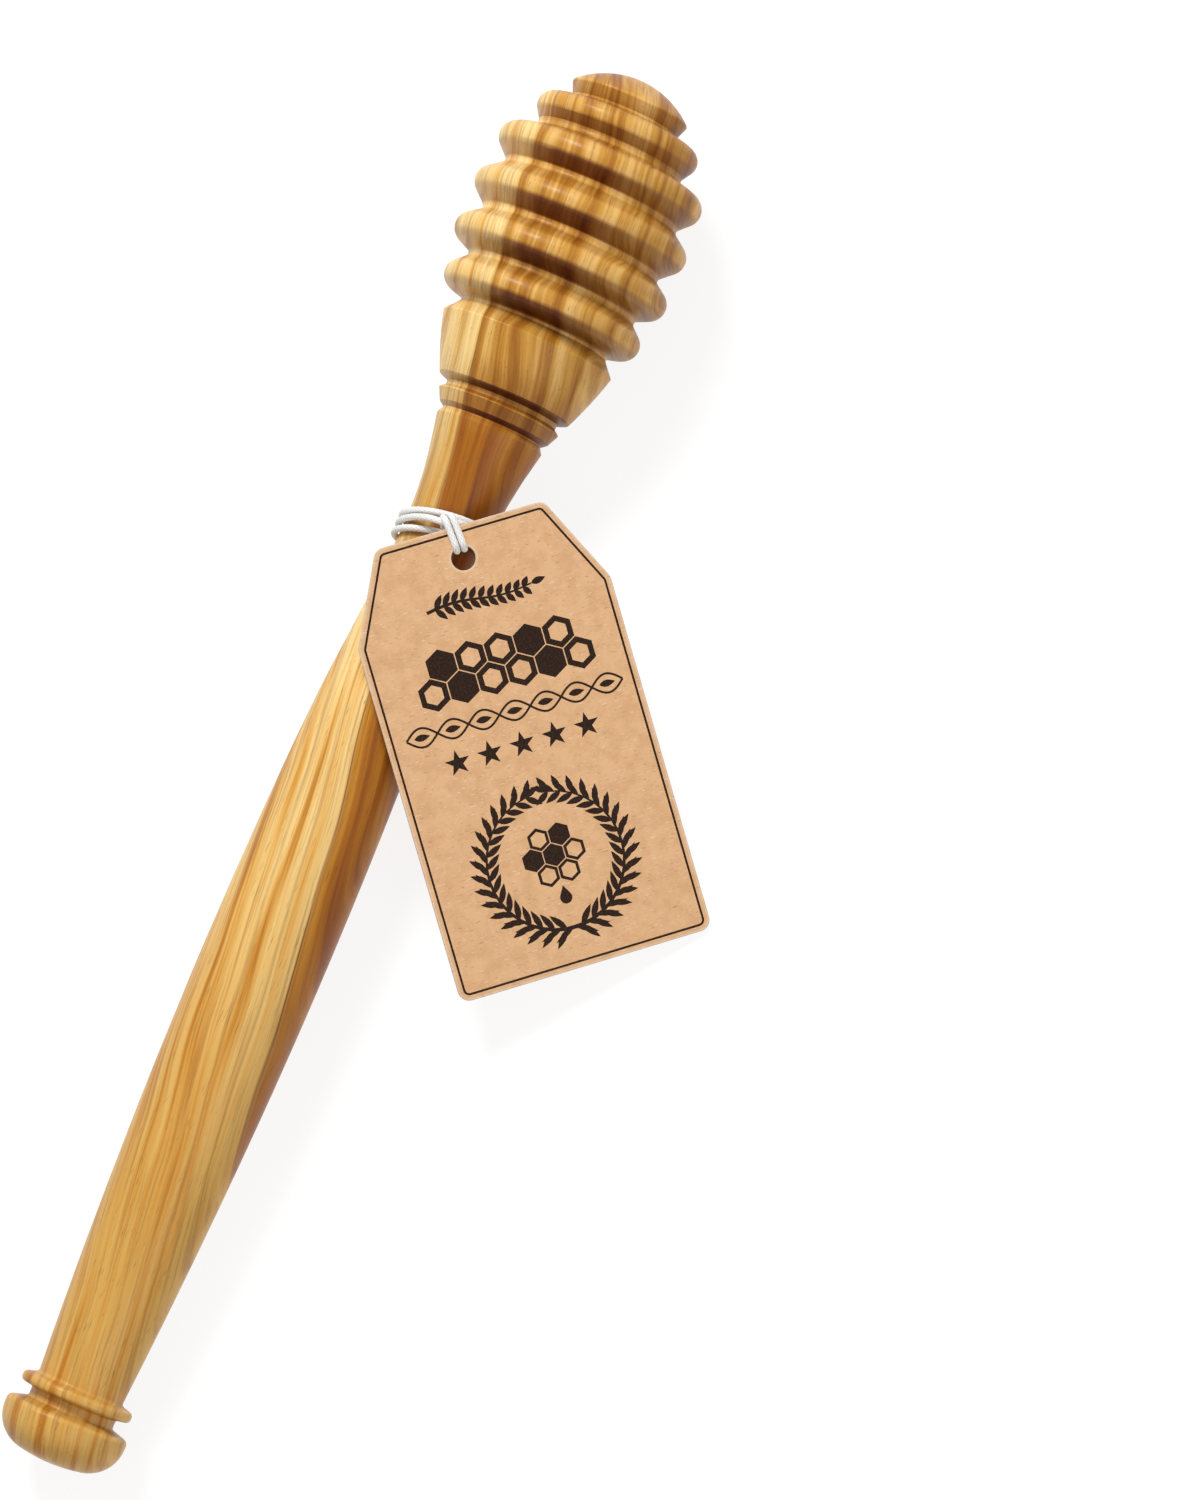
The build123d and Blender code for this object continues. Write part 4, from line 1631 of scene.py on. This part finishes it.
@dataclass
class Studio:
    """Floor, soft lights and the camera. Lengths are metres, but the lens and sensor are millimetres."""

    camera_at: Point3 = (-0.071077, -0.212946, 0.787278)
    camera_right: Point3 = (0.397775, -0.901086, -0.172683)
    camera_up: Point3 = (0.911469, 0.366591, 0.186644)
    camera_forward: Point3 = (0.104878, 0.231638, -0.967132)
    lens: float = 161.88
    sensor: float = 36.0
    nearest: float = 0.01
    floor_size: float = 6.0
    # The floor is grey paper that glows, so that it shows white and the shadows on it are faint.
    floor_paper: float = 0.22
    floor_glow: float = 0.45
    floor_glow_seen: float = 0.84
    sky: float = 0.42
    sky_seen: float = 1.0
    lamps: tuple[SoftLamp, ...] = (
        SoftLamp("key_lamp", (0.62, 0.42, 0.92), 0.35, 10.5),
        SoftLamp("fill_lamp", (-0.35, -0.70, 0.70), 0.6, 2.0),
    )

    def camera(self) -> None:
        """Set up the camera at the photograph's viewing angle."""
        data = bpy.data.cameras.new("studio_camera")
        data.lens, data.sensor_width, data.sensor_fit = self.lens, self.sensor, "AUTO"
        data.clip_start = self.nearest
        camera = add_object("studio_camera", data)
        turn = Matrix((self.camera_right, self.camera_up, -Vector(self.camera_forward))).transposed()
        camera.matrix_world = Matrix.Translation(self.camera_at) @ turn.to_4x4()
        bpy.context.scene.camera = camera

    def seen(self, tree: bpy.types.NodeTree, hidden: float, shown: float) -> bpy.types.NodeSocket:
        """Strength that differs between lighting and being seen.

        Args:
            tree: The node tree that gets the nodes.
            hidden: Strength for the rays that light the object.
            shown: Strength for the rays that the eye, a gloss or a clear part sees.

        Returns:
            The strength's output.
        """
        rays = add_node(tree, "LightPath").outputs
        shown_ray = rays["Is Camera Ray"]
        for other in ("Is Glossy Ray", "Is Transmission Ray"):
            either = {0: shown_ray, 1: rays[other]}
            shown_ray = add_node(tree, "Math", either, operation="MAXIMUM").outputs[0]
        return add_node(tree, "MapRange", {0: shown_ray, 3: hidden, 4: shown}).outputs[0]

    def floor(self) -> None:
        """Lay the plain floor, which shows white and keeps the object's shadow."""
        half = self.floor_size / 2
        corners = [(-half, -half, 0), (half, -half, 0), (half, half, 0), (-half, half, 0)]
        mesh = bpy.data.meshes.new("studio_floor")
        mesh.from_pydata(corners, [], [(0, 1, 2, 3)])
        piece = add_object("studio_floor", mesh)
        material, tree = new_material("studio_floor_paper")
        paper = add_node(tree, "BsdfDiffuse", {"Color": (*[self.floor_paper] * 3, 1.0)})
        strength = self.seen(tree, self.floor_glow, self.floor_glow_seen)
        glow = add_node(tree, "Emission", {"Color": WHITE, "Strength": strength})
        both = add_node(tree, "AddShader", {0: paper.outputs[0], 1: glow.outputs[0]})
        add_node(tree, "OutputMaterial", {"Surface": both.outputs[0]})
        mesh.materials.append(material)

    def lights(self) -> None:
        """Light the object with a pale sky and soft lamps."""
        world = bpy.data.worlds.new("studio_sky")
        world.use_nodes = True
        tree = world.node_tree
        tree.nodes.clear()
        strength = self.seen(tree, self.sky, self.sky_seen)
        sky = add_node(tree, "Background", {"Color": WHITE, "Strength": strength})
        add_node(tree, "OutputWorld", {"Surface": sky.outputs[0]})
        bpy.context.scene.world = world
        for lamp in self.lamps:
            lamp.build()

    def build(self) -> None:
        """Set up the whole studio."""
        self.camera()
        self.floor()
        self.lights()
        bpy.context.scene.view_settings.view_transform = "Standard"


# ---------------------------------------------------------------- the whole


def report(piece: bpy.types.Object) -> None:
    """Log a finished piece."""
    log.info("%s: %d faces", piece.name, len(piece.data.polygons))


def main() -> None:
    """Build and dress every piece in order, and report each."""
    logging.basicConfig(level=logging.INFO, format="%(name)s: %(message)s")
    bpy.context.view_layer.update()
    Studio().build()
    log.info("studio: camera, floor and lights")
    elastic = BraidedElastic().material()
    knot = ElasticKnot()
    report(NeckWinding().build(knot, elastic))
    report(knot.build(elastic))
    report(TagLoop().build(elastic))
    crushed = KraftBoard(name="kraft_board_crushed_edge", face="#E4C6A8", cloud="#DCBB9A")
    report(HangTag().build(KraftBoard().material(), PrintedInk().material(), crushed.material()))
    report(WoodenDipper().dress(OiledOliveWood().material()))


if __name__ == "__main__":
    main()
